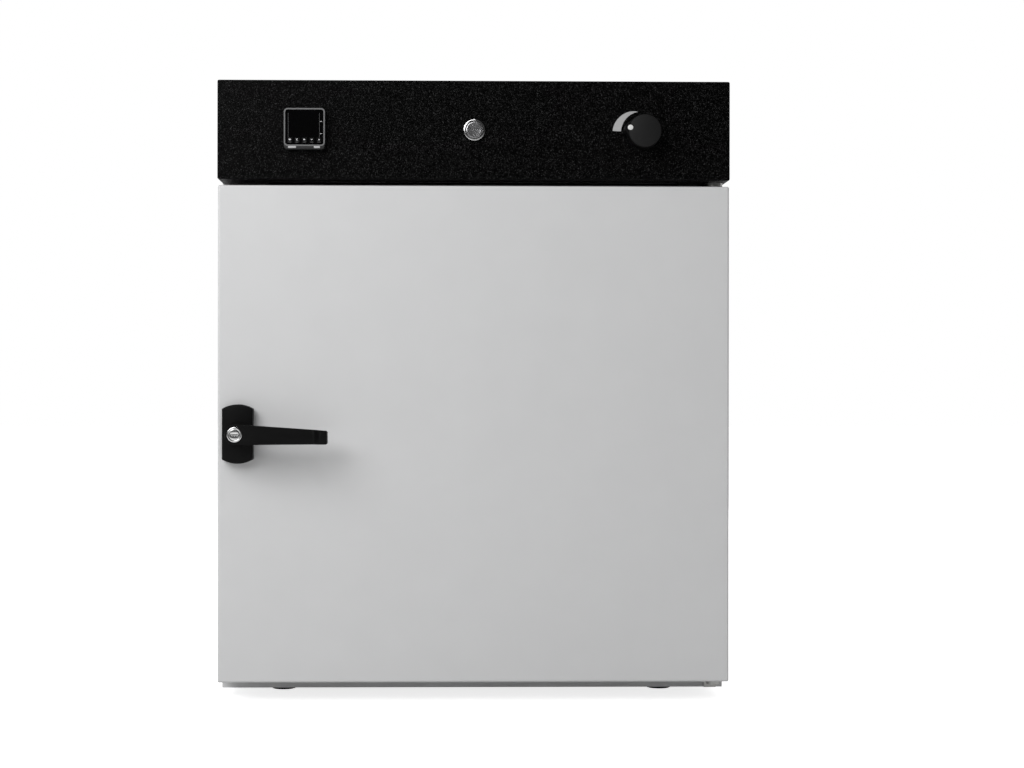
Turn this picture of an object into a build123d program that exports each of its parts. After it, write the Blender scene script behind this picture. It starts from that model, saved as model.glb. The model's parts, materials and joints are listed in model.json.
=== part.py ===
from build123d import *
from math import acos, asin, cos, degrees, radians, sin
import os

# A bench-top laboratory incubator: an insulated cabinet with one hinged door, a black
# control fascia above it and a fan-stirred stainless chamber inside.
# Millimetres, X to the right, Y to the back, Z up. Depths are counted from the door's
# front face, heights from the bench; place() moves the origin under the middle.

# Chamber and the walls round it, which set the size of the case
chamber_width = 450.0
chamber_height = 460.0
chamber_depth = 400.0
chamber_corner = 8.0
side_wall = 75.0
floor_wall = 69.0
roof_wall = 66.0
rear_wall = 50.0
motor_space = 64.0

# Case
sheet = 1.2
fascia_sheet = 1.5
case_corner = 2.0
fold_radius = 1.6
fascia_height = 116.0
fascia_step = 8.0
foot_height = 11.0
foot_radius = 18.0
foot_stem = 6.0
foot_inset = 70.0
return_width = 12.0
pan_flange = 18.0

# Door
door_thickness = 52.0
door_side_gap = 0.75
door_fold = 2.5
head_gap = 7.0
toe_gap = 15.0
seal_gap = 6.0
seal_width = 16.0
seal_inset = 6.0
plateau_margin = 12.0
plateau_height = 21.0
plateau_corner = 14.0
plateau_taper = 12.0

# Hinges
hinge_inset = 15.0
hinge_depth = 28.0
pin_radius = 4.0
pin_reach = 14.0
bush_radius = 7.0
bush_flange_radius = 9.5
bush_flange = 1.4
upper_tongue = 4.0
upper_tongue_width = 20.0
upper_leg_height = 36.0
lower_tongue = 5.0
lower_tongue_width = 14.0
leg_thickness = 3.5
hinge_screw_radius = 2.0

# Lever handle, lock and latch
latch_inset = 25.0
escutcheon_width = 36.0
escutcheon_disc = 34.5
escutcheon_thickness = 13.0
escutcheon_corner = 2.0
escutcheon_screw_spread = 44.0
lever_length = 107.0
lever_hub = 11.8
lever_face = 45.0
lever_reach = 52.0
lever_tip_rise = 4.7
lever_tip_drop = 10.9
lock_radius = 8.75
lock_bore = 6.5
lock_length = 12.0
keyway_width = 1.6
keyway_length = 8.0
shaft_radius = 5.0
sleeve_radius = 8.5
sleeve_length = 30.0
cam_length = 36.0
cam_width = 12.0
cam_thickness = 5.0
cam_slot_play = 2.5
strike_thickness = 2.0
strike_margin = 10.0

# Instruments on the fascia
instrument_share = 0.44
controller_size = 48.0
controller_corner = 4.5
controller_proud = 8.0
controller_rim = 2.0
controller_lip = 2.4
controller_body = 44.6
controller_depth = 92.0
window_recess = 1.2
window_thickness = 1.6
key_count = 5
key_pitch = 8.5
key_width = 5.6
key_height = 6.2
key_proud = 0.6
key_length = 3.4
key_above_edge = 3.2
clamp_thickness = 8.0
switch_bezel_radius = 12.5
switch_bezel_thickness = 2.5
switch_barrel_radius = 11.0
switch_length = 38.0
switch_cap_radius = 9.4
switch_cap_length = 8.0
switch_cap_proud = 0.7
switch_travel = 2.5
switch_nut_flats = 27.0
switch_nut_thickness = 4.0
knob_drop = 2.5
knob_face_radius = 18.7
knob_skirt_radius = 19.4
knob_nose_radius = 5.2
knob_nose_distance = 18.4
knob_height = 22.0
knob_cap_thickness = 2.0
knob_dot_distance = 17.3
knob_dot_radius = 3.2
knob_rest_angle = 12.0

# Exhaust and its butterfly damper
exhaust_depth = 300.0
pipe_radius = 18.0
pipe_wall = 1.5
pipe_into_spigot = 12.0
spigot_radius = 20.0
spigot_height = 20.0
spigot_flange_radius = 30.0
spigot_flange = 2.0
rod_radius = 3.0
flap_play = 0.5
flap_thickness = 1.2

# Air circulation and heating
plenum_depth = 56.0
fan_radius = 80.0
fan_width = 28.0
fan_blades = 12
blade_thickness = 1.2
blade_root = 0.6
blade_lean = 28.0
fan_plate = 1.5
fan_hub_radius = 12.0
fan_shaft_radius = 4.0
motor_radius = 40.0
motor_length = 48.0
heater_radius = 97.0
heater_tube = 4.0
heater_leg_spread = 30.0
probe_radius = 3.0
probe_offset = 120.0
grille_radius = 66.0
grille_slit = 6.0
grille_pitch = 12.0
outlet_length = 26.0
outlet_pitch = 34.0

# Shelves and their racks
rack_post_width = 16.0
rack_sheet = 1.5
runner_width = 12.0
runner_lip = 8.0
runner_front = 22.0
runner_rear = 8.0
runner_pitch = 66.0
first_runner = 60.0
rack_end = 20.0
rack_setback = 30.0
shelf_levels = (1, 3)
runner_play = 0.05
frame_wire = 2.5
cross_wire = 2.2
cross_wires = 3
shelf_wire = 1.4
weld_sink = 0.6
shelf_wire_pitch = 34.0

# Electrical pieces
inlet_height = 46.0
inlet_flange = 3.0
inlet_width = 50.0
inlet_tall = 24.0
relay_size = (58.0, 45.0, 30.0)
screw_head_radius = 4.0
screw_head_height = 2.4
screw_radius = 2.0
rear_screw_inset = 14.0
louvre_length = 60.0
louvre_width = 4.0
louvre_pitch = 14.0
louvre_rows = 3

# Clearances
running_fit = 0.05
seat_fit = 0.02
face_gap = 0.3
hole_play = 0.3

# Places that follow from those sizes
half_chamber = chamber_width / 2
half_case = half_chamber + side_wall
instrument_offset = instrument_share * chamber_width
chamber_floor = foot_height + floor_wall
chamber_roof = chamber_floor + chamber_height
chamber_middle = (chamber_floor + chamber_roof) / 2
deck_bottom = chamber_roof + roof_wall
deck_top = deck_bottom + sheet
fascia_bottom = deck_bottom + fascia_step
case_top = fascia_bottom + fascia_height
frame_front = door_thickness + seal_gap
frame_back = frame_front + sheet
chamber_back = frame_back + chamber_depth
inner_back = chamber_back + sheet + rear_wall
rear_inside = inner_back + sheet + motor_space
case_depth = rear_inside + sheet
pan_top = foot_height + sheet
door_half = half_case - door_side_gap
door_bottom = foot_height + toe_gap
door_top = fascia_bottom - head_gap
lining_face = door_thickness - sheet
hinge_x = half_case - hinge_inset
latch_x = -(half_case - latch_inset)
latch_z = (door_bottom + door_top) / 2
lever_back = escutcheon_thickness + face_gap
cam_front = frame_back + strike_thickness + face_gap
shaft_end = cam_front + cam_thickness
instrument_z = (fascia_bottom + case_top) / 2
knob_x = instrument_offset
knob_z = instrument_z - knob_drop
controller_x = -instrument_offset
pipe_bore = pipe_radius - pipe_wall
pipe_top = case_top + spigot_flange + pipe_into_spigot
baffle_front = chamber_back - plenum_depth
fan_front = baffle_front + sheet + 8.0
motor_front = inner_back + sheet
runner_levels = 1 + int((chamber_height - first_runner - 2 * rack_end) / runner_pitch)
shelf_half = half_chamber - 2 * rack_sheet - face_gap - frame_wire
origin_depth = (case_depth + inlet_flange - lever_reach) / 2


def slab(x0, x1, y0, y1, z0, z1):
    return Pos((x0 + x1) / 2, (y0 + y1) / 2, (z0 + z1) / 2) * Box(x1 - x0, y1 - y0, z1 - z0)


def rod_x(y, z, radius, x0, x1):
    return Pos((x0 + x1) / 2, y, z) * Rot(0, 90, 0) * Cylinder(radius, x1 - x0)


def rod_y(x, z, radius, y0, y1):
    return Pos(x, (y0 + y1) / 2, z) * Rot(90, 0, 0) * Cylinder(radius, y1 - y0)


def rod_z(x, y, radius, z0, z1):
    return Pos(x, y, (z0 + z1) / 2) * Cylinder(radius, z1 - z0)


def plate(outline, y0, y1, x=0.0, z=0.0):
    """An outline drawn as seen from the front, with its thickness from y0 back to y1."""
    back = Plane(origin=(x, y1, z), x_dir=(1, 0, 0), z_dir=(0, -1, 0))
    return extrude(back * outline, amount=y1 - y0)


def place(shape, node):
    shape = Pos(0, -origin_depth, 0) * shape
    export_step(shape, "parts/" + node + ".step")


def group(solids):
    return Compound(children=list(solids))


def hex_screw(x, z, face, length):
    """A hexagon-head screw whose head sits behind a face at the depth `face`."""
    head = plate(RegularPolygon(screw_head_radius, 6), face, face + screw_head_height, x, z)
    return head + rod_y(x, z, screw_radius, face - length, face)


# Case

def make_outer_casing():
    casing = slab(-half_case, half_case, frame_back, rear_inside, foot_height, case_top)
    top_edges = casing.edges().filter_by(Axis.Y).group_by(Axis.Z)[-1]
    casing = fillet(top_edges, case_corner)
    inside = half_case - sheet
    casing -= slab(-inside, inside, frame_back, rear_inside, foot_height, case_top - sheet)
    casing -= rod_z(knob_x, exhaust_depth, pipe_radius + hole_play, case_top - sheet, case_top)
    # Two side panels welded to a top cover just under its rounded edges
    seam = case_top - case_corner
    left = slab(-half_case, 0, frame_back, rear_inside, foot_height, seam)
    right = slab(0, half_case, frame_back, rear_inside, foot_height, seam)
    cover = slab(-half_case, half_case, frame_back, rear_inside, seam, case_top)
    return group([casing & left, casing & right, casing & cover])


def make_bottom_pan():
    inside = half_case - sheet
    pan = slab(-inside, inside, frame_back, rear_inside, foot_height, foot_height + pan_flange)
    well = inside - sheet
    pan -= slab(-well, well, frame_back, rear_inside, pan_top, foot_height + pan_flange)
    for x, y in foot_places():
        pan -= rod_z(x, y, foot_stem + hole_play, foot_height, pan_top)
    return pan


def foot_places():
    across = half_case - foot_inset
    return [(x, y) for x in (-across, across) for y in (frame_front + foot_inset, case_depth - foot_inset)]


def make_feet():
    feet = []
    for x, y in foot_places():
        foot = Pos(x, y, 0) * extrude(RegularPolygon(foot_radius, 8), amount=foot_height)
        foot += rod_z(x, y, foot_stem, foot_height, pan_top)
        feet.append(foot)
    return group(feet)


def rear_screw_places():
    across = half_case - rear_screw_inset
    low = foot_height + rear_screw_inset
    high = case_top - rear_screw_inset
    steps = 2
    sides = [(x, low + (high - low) * n / steps) for x in (-across, across) for n in range(steps + 1)]
    return sides + [(0.0, low), (0.0, high)]


def inlet_z():
    return foot_height + inlet_height


def make_rear_panel():
    panel = slab(-half_case, half_case, rear_inside, case_depth, foot_height, case_top)
    panel = fillet(panel.edges().filter_by(Axis.Y).group_by(Axis.Z)[-1], case_corner)
    slot = Rectangle(louvre_length, louvre_width)
    rows = louvre_rows
    for x in (-half_case / 2, 0.0, half_case / 2):
        for row in range(rows):
            up = (row - (rows - 1) / 2) * louvre_pitch
            panel -= plate(slot, rear_inside, case_depth, x, instrument_z + up)
            panel -= plate(slot, rear_inside, case_depth, x, chamber_middle + up)
    body_width, body_height = inlet_body()
    hole = Rectangle(body_width + 2 * hole_play, body_height + 2 * hole_play)
    panel -= plate(hole, rear_inside, case_depth, knob_x, inlet_z())
    for x, z in rear_screw_places():
        panel -= rod_y(x, z, screw_radius + hole_play, rear_inside, case_depth)
    return panel


def make_rear_screws():
    return group([hex_screw(x, z, case_depth, sheet) for x, z in rear_screw_places()])


def make_front_frame():
    frame = slab(-half_case, half_case, frame_front, frame_back, foot_height, case_top)
    frame = fillet(frame.edges().filter_by(Axis.Y).group_by(Axis.Z)[-1], case_corner)
    inside = half_case - sheet
    for side in (-1, 1):
        edges = sorted((side * inside, side * (inside - sheet)))
        frame += slab(*edges, frame_back, frame_back + return_width, foot_height + pan_flange, deck_bottom)
    mouth = RectangleRounded(chamber_width, chamber_height, chamber_corner)
    frame -= plate(mouth, frame_front, frame_back, 0, chamber_middle)
    margin = return_width + sheet
    frame -= slab(-half_case + margin, half_case - margin, frame_front, frame_back,
                  fascia_bottom + fascia_step, case_top - margin)
    frame -= plate(cam_slot(), frame_front, frame_back, latch_x, latch_z)
    for x, z in hinge_screw_places():
        frame -= rod_y(x, z, hinge_screw_radius + seat_fit, frame_front, frame_back)
    return frame


def make_electronics_deck():
    inside = half_case - sheet
    deck = slab(-inside, inside, frame_back, rear_inside, deck_bottom, deck_top)
    return deck - rod_z(knob_x, exhaust_depth, pipe_radius + hole_play, deck_bottom, deck_top)


def make_inner_back_plate():
    inside = half_case - 2 * sheet
    back = slab(-inside, inside, inner_back, inner_back + sheet, pan_top, deck_bottom)
    return back - rear_passages(inner_back, inner_back + sheet)


def rear_passages(y0, y1):
    """The ways through the back of the chamber for the fan shaft, heater legs and probe."""
    ways = rod_y(0, chamber_middle, fan_shaft_radius + 2.0, y0, y1)
    for side in (-1, 1):
        ways += rod_y(side * heater_leg_spread / 2, heater_leg_z(), heater_tube + hole_play, y0, y1)
    return ways + rod_y(probe_offset, probe_z(), probe_radius + hole_play, y0, y1)


def heater_leg_z():
    rise = (heater_radius ** 2 - (heater_leg_spread / 2) ** 2) ** 0.5
    return chamber_middle - rise


def probe_z():
    return chamber_middle + probe_offset


def make_chamber_liner():
    outer = RectangleRounded(chamber_width + 2 * sheet, chamber_height + 2 * sheet, chamber_corner + sheet)
    inner = RectangleRounded(chamber_width, chamber_height, chamber_corner)
    flange = RectangleRounded(chamber_width + 2 * return_width, chamber_height + 2 * return_width, chamber_corner)
    liner = plate(outer, frame_back, chamber_back + sheet, 0, chamber_middle)
    liner += plate(flange, frame_back, frame_back + sheet, 0, chamber_middle)
    liner -= plate(inner, frame_back, chamber_back, 0, chamber_middle)
    liner -= rear_passages(chamber_back, chamber_back + sheet)
    liner -= rod_z(knob_x, exhaust_depth, pipe_radius + hole_play, chamber_roof, chamber_roof + sheet)
    # Five sheets welded together: two sides with the rounded corners, the floor, the roof and the back
    flat = half_chamber - chamber_corner
    low, high = foot_height, deck_bottom
    sheets = [
        slab(-half_case, -flat, frame_back, chamber_back, low, high),
        slab(flat, half_case, frame_back, chamber_back, low, high),
        slab(-flat, flat, frame_back, chamber_back, low, chamber_middle),
        slab(-flat, flat, frame_back, chamber_back, chamber_middle, high),
        slab(-half_case, half_case, chamber_back, chamber_back + sheet, low, high)]
    return group([liner & region for region in sheets])


def make_wall_insulation():
    outside = half_case - 2 * sheet
    inside = half_chamber + sheet
    wool = slab(-outside, outside, frame_back + sheet, inner_back, pan_top, deck_bottom)
    wool -= slab(-inside, inside, frame_back + sheet, inner_back, chamber_floor - sheet, chamber_roof + sheet)
    wool -= rod_z(knob_x, exhaust_depth, pipe_radius + hole_play, chamber_roof, deck_bottom)
    pocket = cam_length / 2 + strike_margin + hole_play
    depth = shaft_end + 3 * face_gap
    return wool - slab(latch_x - cam_length / 2 - 3, latch_x + cam_length / 2 + 3, frame_back, depth,
                       latch_z - pocket, latch_z + pocket)


def make_rear_insulation():
    inside = half_chamber + sheet
    wool = slab(-inside, inside, chamber_back + sheet, inner_back, chamber_floor - sheet, chamber_roof + sheet)
    return wool - rear_passages(chamber_back + sheet, inner_back)


# Door hinges

def hinge_screw_places():
    upper = [(hinge_x, fascia_bottom + upper_leg_height * share) for share in (0.4, 0.8)]
    return upper + [(hinge_x, foot_height + lower_leg_drop() / 2)]


def upper_tongue_z():
    return fascia_bottom - face_gap - upper_tongue


def lower_tongue_z():
    return door_bottom - face_gap - bush_flange - lower_tongue


def lower_leg_drop():
    return lower_tongue_z() - foot_height


def make_upper_hinge():
    half = upper_tongue_width / 2
    low = upper_tongue_z()
    nose = rod_z(hinge_x, hinge_depth, half, low, low + upper_tongue)
    arm = slab(hinge_x - half, hinge_x + half, hinge_depth, frame_front, low, low + upper_tongue)
    leg = slab(hinge_x - half, hinge_x + half, frame_front - leg_thickness, frame_front, low,
               fascia_bottom + upper_leg_height)
    hinge = nose + arm + leg + rod_z(hinge_x, hinge_depth, pin_radius, door_top - pin_reach, low)
    for x, z in hinge_screw_places()[:2]:
        hinge -= rod_y(x, z, hinge_screw_radius + seat_fit, frame_front - leg_thickness, frame_front)
    return hinge


def make_lower_hinge():
    half = lower_tongue_width / 2
    low = lower_tongue_z()
    nose = rod_z(hinge_x, hinge_depth, half, low, low + lower_tongue)
    arm = slab(hinge_x - half, hinge_x + half, hinge_depth, frame_front, low, low + lower_tongue)
    leg = slab(hinge_x - half, hinge_x + half, frame_front - leg_thickness, frame_front, foot_height, low)
    top = low + lower_tongue
    hinge = nose + arm + leg + rod_z(hinge_x, hinge_depth, pin_radius, top, door_bottom + pin_reach)
    x, z = hinge_screw_places()[2]
    return hinge - rod_y(x, z, hinge_screw_radius + seat_fit, frame_front - leg_thickness, frame_front)


def make_hinge_screws():
    screws = []
    for x, z in hinge_screw_places():
        face = frame_front - leg_thickness
        head = plate(RegularPolygon(hinge_screw_radius * 1.8, 6), face - hinge_screw_radius, face, x, z)
        screws.append(head + rod_y(x, z, hinge_screw_radius, face, frame_back))
    return group(screws)


def make_hinge_bushes():
    bushes = []
    for skin_face, way in ((door_bottom, 1), (door_top, -1)):
        flange = sorted((skin_face - way * bush_flange, skin_face))
        barrel = sorted((skin_face, skin_face + way * (pin_reach + 2.0)))
        bore = sorted((skin_face - way * bush_flange, skin_face + way * (pin_reach + face_gap)))
        bush = rod_z(hinge_x, hinge_depth, bush_flange_radius, *flange)
        bush += rod_z(hinge_x, hinge_depth, bush_radius, *barrel)
        bushes.append(bush - rod_z(hinge_x, hinge_depth, pin_radius + running_fit, *bore))
    return group(bushes)


# Door

def make_door_skin():
    skin = slab(-door_half, door_half, 0, door_thickness, door_bottom, door_top)
    skin = fillet(skin.edges().filter_by(Axis.Y), case_corner)
    skin = fillet(skin.faces().sort_by(Axis.Y)[0].edges(), door_fold)
    inside = door_half - sheet
    low, high = door_bottom + sheet, door_top - sheet
    skin -= slab(-inside, inside, sheet, lining_face, low, high)
    clear = inside - return_width
    skin -= slab(-clear, clear, lining_face, door_thickness, low + return_width, high - return_width)
    skin -= rod_z(hinge_x, hinge_depth, bush_radius + seat_fit, door_bottom, low)
    skin -= rod_z(hinge_x, hinge_depth, bush_radius + seat_fit, high, door_top)
    skin -= rod_y(latch_x, latch_z, sleeve_radius + hole_play, 0, sheet)
    for z in escutcheon_screw_heights():
        skin -= rod_y(latch_x, z, screw_radius + seat_fit, 0, sheet)
    return skin


def plateau_width():
    return chamber_width - 2 * plateau_margin


def plateau_tall():
    return chamber_height - 2 * plateau_margin


def plateau(shrink, y0, y1):
    """The tapered block that the door's lining is pressed out to, less `shrink` all round."""
    width, tall = plateau_width() - 2 * shrink, plateau_tall() - 2 * shrink
    outline = RectangleRounded(width, tall, plateau_corner - shrink)
    front = Plane(origin=(0, y0, chamber_middle), x_dir=(1, 0, 0), z_dir=(0, 1, 0))
    return extrude(front * outline, amount=y1 - y0, taper=plateau_taper)


def make_door_inner_panel():
    inside = door_half - sheet - face_gap
    low, high = door_bottom + sheet + face_gap, door_top - sheet - face_gap
    front = lining_face - sheet
    panel = slab(-inside, inside, front, lining_face, low, high)
    panel += plateau(0, front, front + plateau_height)
    panel -= plateau(sheet, front, front + plateau_height - sheet)
    return panel - rod_y(latch_x, latch_z, shaft_radius + hole_play, front, lining_face)


def make_door_insulation():
    inside = door_half - sheet - face_gap
    low, high = door_bottom + sheet + face_gap, door_top - sheet - face_gap
    front = lining_face - sheet
    wool = slab(-inside, inside, sheet, front, low, high)
    wool += plateau(sheet + face_gap, front, front + plateau_height - sheet - face_gap)
    room = pin_reach + 2.0 + face_gap
    for z0, z1 in ((door_bottom, door_bottom + room), (door_top - room, door_top)):
        wool -= rod_z(hinge_x, hinge_depth, bush_radius + face_gap, z0, z1)
    half = escutcheon_width / 2 - 4.0
    reach = escutcheon_disc - 4.0
    return wool - slab(latch_x - half, latch_x + half, sheet, front, latch_z - reach, latch_z + reach)


def make_door_seal():
    outer_width = chamber_width + 2 * (seal_inset + seal_width)
    outer_tall = chamber_height + 2 * (seal_inset + seal_width)
    corner = chamber_corner + seal_width
    ring = RectangleRounded(outer_width, outer_tall, corner)
    hollow = RectangleRounded(chamber_width + 2 * seal_inset, chamber_height + 2 * seal_inset, chamber_corner)
    back = frame_front - face_gap
    seal = plate(ring, lining_face, back, 0, chamber_middle)
    seal -= plate(hollow, lining_face, back, 0, chamber_middle)
    bulb = (back - lining_face) * 0.4
    return chamfer(seal.faces().sort_by(Axis.Y)[-1].edges(), bulb)


# Lever handle, lock and latch

def escutcheon_screw_heights():
    return (latch_z - escutcheon_screw_spread / 2, latch_z + escutcheon_screw_spread / 2)


def make_escutcheon():
    outline = Circle(escutcheon_disc) & Rectangle(escutcheon_width, 2 * escutcheon_disc)
    block = plate(outline, -escutcheon_thickness, 0, latch_x, latch_z)
    block = fillet(block.edges().filter_by(Axis.Y), escutcheon_corner)
    block = chamfer(block.faces().sort_by(Axis.Y)[0].edges(), escutcheon_corner * 0.5)
    block += rod_y(latch_x, latch_z, sleeve_radius, 0, sleeve_length)
    block -= rod_y(latch_x, latch_z, shaft_radius + running_fit, -escutcheon_thickness, sleeve_length)
    for z in escutcheon_screw_heights():
        block -= rod_y(latch_x, z, screw_radius + seat_fit, -escutcheon_thickness * 0.7, 0)
    return block


def make_escutcheon_screws():
    length = sheet + escutcheon_thickness * 0.6
    return group([hex_screw(latch_x, z, sheet, length) for z in escutcheon_screw_heights()])


def make_lever():
    drop_side = [(0, -lever_hub), (lever_length, -lever_tip_drop)]
    rise_side = [(lever_length, lever_tip_rise), (0, lever_hub)]
    blade = Polygon(*drop_side, *rise_side, align=None)
    tips = blade.vertices().group_by(Axis.X)[-1]
    front_view = Circle(lever_hub) + fillet(tips, 3.0)
    form = plate(front_view, -lever_reach, -lever_back, latch_x, latch_z)
    # Seen from above: a flat face, a hollow before the tip and a tip that flares outwards
    flare = lever_length - 16.0
    profile = FilletPolyline(
        (-lever_hub, lever_back), (-lever_hub, lever_face), (flare, lever_face - 1.5),
        (lever_length - 9.5, lever_reach), (lever_length - 1.0, lever_reach),
        (lever_length, lever_face - 1.0), (flare, lever_face - 10.0), (lever_hub + 6.0, lever_face - 15.0),
        (lever_hub, lever_back),
        radius=[0.5, 2.0, 6.0, 4.0, 1.4, 3.0, 14.0, 6.0, 0.5], close=True)
    floor = Plane(origin=(latch_x, 0, latch_z - 2 * lever_hub), x_dir=(1, 0, 0), z_dir=(0, 0, 1))
    side_form = extrude(floor * mirror(make_face(profile), about=Plane.XZ), amount=4 * lever_hub)
    lever = form & side_form
    lever -= rod_y(latch_x, latch_z, lock_radius + seat_fit, -lever_reach, -lever_face + lock_length)
    return lever - rod_y(latch_x, latch_z, shaft_radius + seat_fit, -lever_face + lock_length + 2.0, 0)


def make_lock_barrel():
    front = -lever_face - 0.8
    back = -lever_face + lock_length
    barrel = rod_y(latch_x, latch_z, lock_radius, front, back)
    return barrel - rod_y(latch_x, latch_z, lock_bore, front, back - 1.5)


def make_lock_plug():
    front = -lever_face - 0.5
    back = -lever_face + lock_length - 1.5 - face_gap
    plug = rod_y(latch_x, latch_z, lock_bore - running_fit, front, back)
    keyway = plate(RectangleRounded(keyway_length, keyway_width, keyway_width * 0.3),
                   front, front + 5.0, latch_x, latch_z)
    return plug - keyway


def make_latch_shaft():
    return rod_y(latch_x, latch_z, shaft_radius, -lever_face + lock_length + 2.3, shaft_end)


def cam_slot():
    return RectangleRounded(cam_width + 2 * cam_slot_play, cam_length + 2 * cam_slot_play, cam_slot_play)


def make_latch_cam():
    outline = RectangleRounded(cam_width, cam_length, cam_width * 0.3) - Circle(shaft_radius + seat_fit)
    return plate(outline, cam_front, shaft_end, latch_x, latch_z)


def make_strike_plate():
    half_width = cam_length / 2
    outline = RectangleRounded(2 * half_width, cam_length + 2 * strike_margin, cam_slot_play) - cam_slot()
    return plate(outline, frame_back, frame_back + strike_thickness, latch_x, latch_z)


# Fascia and what is fixed to it

def make_fascia():
    tray = slab(-half_case, half_case, 0, frame_front, fascia_bottom, case_top)
    tray = fillet(tray.edges().filter_by(Axis.Y), case_corner)
    tray = fillet(tray.faces().sort_by(Axis.Y)[0].edges(), fold_radius)
    inside = half_case - fascia_sheet
    tray -= slab(-inside, inside, fascia_sheet, frame_front, fascia_bottom + fascia_sheet, case_top - fascia_sheet)
    vent = half_case - 56.0
    tray -= slab(-vent, vent, frame_front * 0.5, frame_front * 0.88, fascia_bottom, fascia_bottom + fascia_sheet)
    notch = upper_tongue_width / 2 + face_gap
    tray -= slab(hinge_x - notch, hinge_x + notch, frame_front - leg_thickness - face_gap, frame_front,
                 fascia_bottom, fascia_bottom + fascia_sheet)
    hole = controller_body / 2 + hole_play
    tray -= slab(controller_x - hole, controller_x + hole, 0, fascia_sheet, instrument_z - hole, instrument_z + hole)
    tray -= rod_y(0, instrument_z, switch_barrel_radius + seat_fit, 0, fascia_sheet)
    return tray - rod_y(knob_x, knob_z, spindle_bush_radius() + seat_fit, 0, fascia_sheet)


def window_size():
    inside = controller_size - 2 * controller_rim - 2 * seat_fit
    return inside, inside - controller_lip


def window_z():
    return instrument_z + controller_lip / 2


def make_controller_bezel():
    outer = RectangleRounded(controller_size, controller_size, controller_corner)
    bezel = plate(outer, -controller_proud, 0, controller_x, instrument_z)
    bezel = chamfer(bezel.faces().sort_by(Axis.Y)[0].edges(), 0.6)
    width, tall = window_size()
    corner = controller_corner - controller_rim
    recess = RectangleRounded(width + 2 * seat_fit, tall + 2 * seat_fit, corner)
    bezel -= plate(recess, -controller_proud, -controller_proud + window_recess + window_thickness,
                   controller_x, window_z())
    cavity = Rectangle(width - 2.0, tall - 2.0)
    return bezel - plate(cavity, -controller_proud, 0, controller_x, window_z())


def key_places():
    z = window_z() - window_size()[1] / 2 + key_above_edge + key_height / 2
    return [(controller_x + (n - (key_count - 1) / 2) * key_pitch, z) for n in range(key_count)]


def window_front():
    return -controller_proud + window_recess


def make_controller_window():
    width, tall = window_size()
    face = RectangleRounded(width, tall, controller_corner - controller_rim)
    window = plate(face, window_front(), window_front() + window_thickness, controller_x, window_z())
    gap = 2 * running_fit
    hole = Rectangle(key_width + 2 * gap, key_height + 2 * gap)
    for x, z in key_places():
        window -= plate(hole, window_front(), window_front() + window_thickness, x, z)
    return window


def make_key(x, z):
    front = window_front() - key_proud
    return plate(Rectangle(key_width, key_height), front, front + key_length, x, z)


def make_controller_housing():
    half = controller_body / 2
    body = slab(controller_x - half, controller_x + half, 0, controller_depth, instrument_z - half, instrument_z + half)
    for level in (-1, 1):
        z = instrument_z + level * half * 0.55
        body -= slab(controller_x - half * 0.8, controller_x + half * 0.8, controller_depth - 6.0, controller_depth,
                     z - 5.0, z + 5.0)
    return body


def make_controller_clamp():
    outer = Rectangle(controller_body + 8.0, controller_body + 8.0)
    inner = Rectangle(controller_body + 2 * seat_fit, controller_body + 2 * seat_fit)
    return plate(outer - inner, fascia_sheet, fascia_sheet + clamp_thickness, controller_x, instrument_z)


def make_switch_body():
    bezel = rod_y(0, instrument_z, switch_bezel_radius, -switch_bezel_thickness, 0)
    body = bezel + rod_y(0, instrument_z, switch_barrel_radius, 0, switch_length)
    well = switch_cap_front() + switch_cap_length + switch_travel + 1.0
    body -= rod_y(0, instrument_z, switch_cap_radius + running_fit, -switch_bezel_thickness, well)
    for x in (-5.0, 5.0):
        body += slab(x - 0.4, x + 0.4, switch_length, switch_length + 8.0, instrument_z - 2.4, instrument_z + 2.4)
    return body


def switch_cap_front():
    return -switch_bezel_thickness - switch_cap_proud


def make_switch_cap():
    front = switch_cap_front()
    return rod_y(0, instrument_z, switch_cap_radius, front, front + switch_cap_length)


def make_switch_nut():
    hexagon = RegularPolygon(switch_nut_flats / 2, 6, major_radius=False)
    outline = hexagon - Circle(switch_barrel_radius + seat_fit)
    return plate(outline, fascia_sheet, fascia_sheet + switch_nut_thickness, 0, instrument_z)


# Damper knob, rod and flap

def spindle_bush_radius():
    return rod_radius + 2.0


def make_spindle_bush():
    radius = spindle_bush_radius()
    bush = rod_y(knob_x, knob_z, radius, -2.5, fascia_sheet + 6.0)
    bush += rod_y(knob_x, knob_z, radius + 3.0, fascia_sheet, fascia_sheet + 2.0)
    return bush - rod_y(knob_x, knob_z, rod_radius + running_fit, -2.5, fascia_sheet + 6.0)


def nose_direction():
    angle = radians(180.0 - knob_rest_angle)
    return cos(angle), sin(angle)


def teardrop(disc, nose, distance):
    """A disc and a smaller nose disc joined by their common tangents."""
    tilt = acos((disc - nose) / distance)
    upper = [(distance + nose * cos(tilt), nose * sin(tilt)), (disc * cos(tilt), disc * sin(tilt))]
    lower = [(x, -y) for x, y in reversed(upper)]
    form = Circle(disc) + Pos(distance, 0) * Circle(nose) + Polygon(*upper, *lower, align=None)
    return Rot(0, 0, 180.0 - knob_rest_angle) * form


def make_knob_body():
    base = -1.5
    cap_back = -knob_height + knob_cap_thickness
    form = plate(teardrop(knob_skirt_radius, knob_nose_radius, knob_nose_distance), cap_back, base, knob_x, knob_z)
    form -= rod_y(knob_x, knob_z, spindle_bush_radius() + 2.0, -5.0, base)
    form -= rod_y(knob_x, knob_z, rod_radius + seat_fit, -knob_height + 5.0, base)
    along, up = nose_direction()
    dot_x, dot_z = knob_x + along * knob_dot_distance, knob_z + up * knob_dot_distance
    return form - rod_y(dot_x, dot_z, knob_dot_radius + seat_fit, cap_back, cap_back + 1.0)


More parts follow.
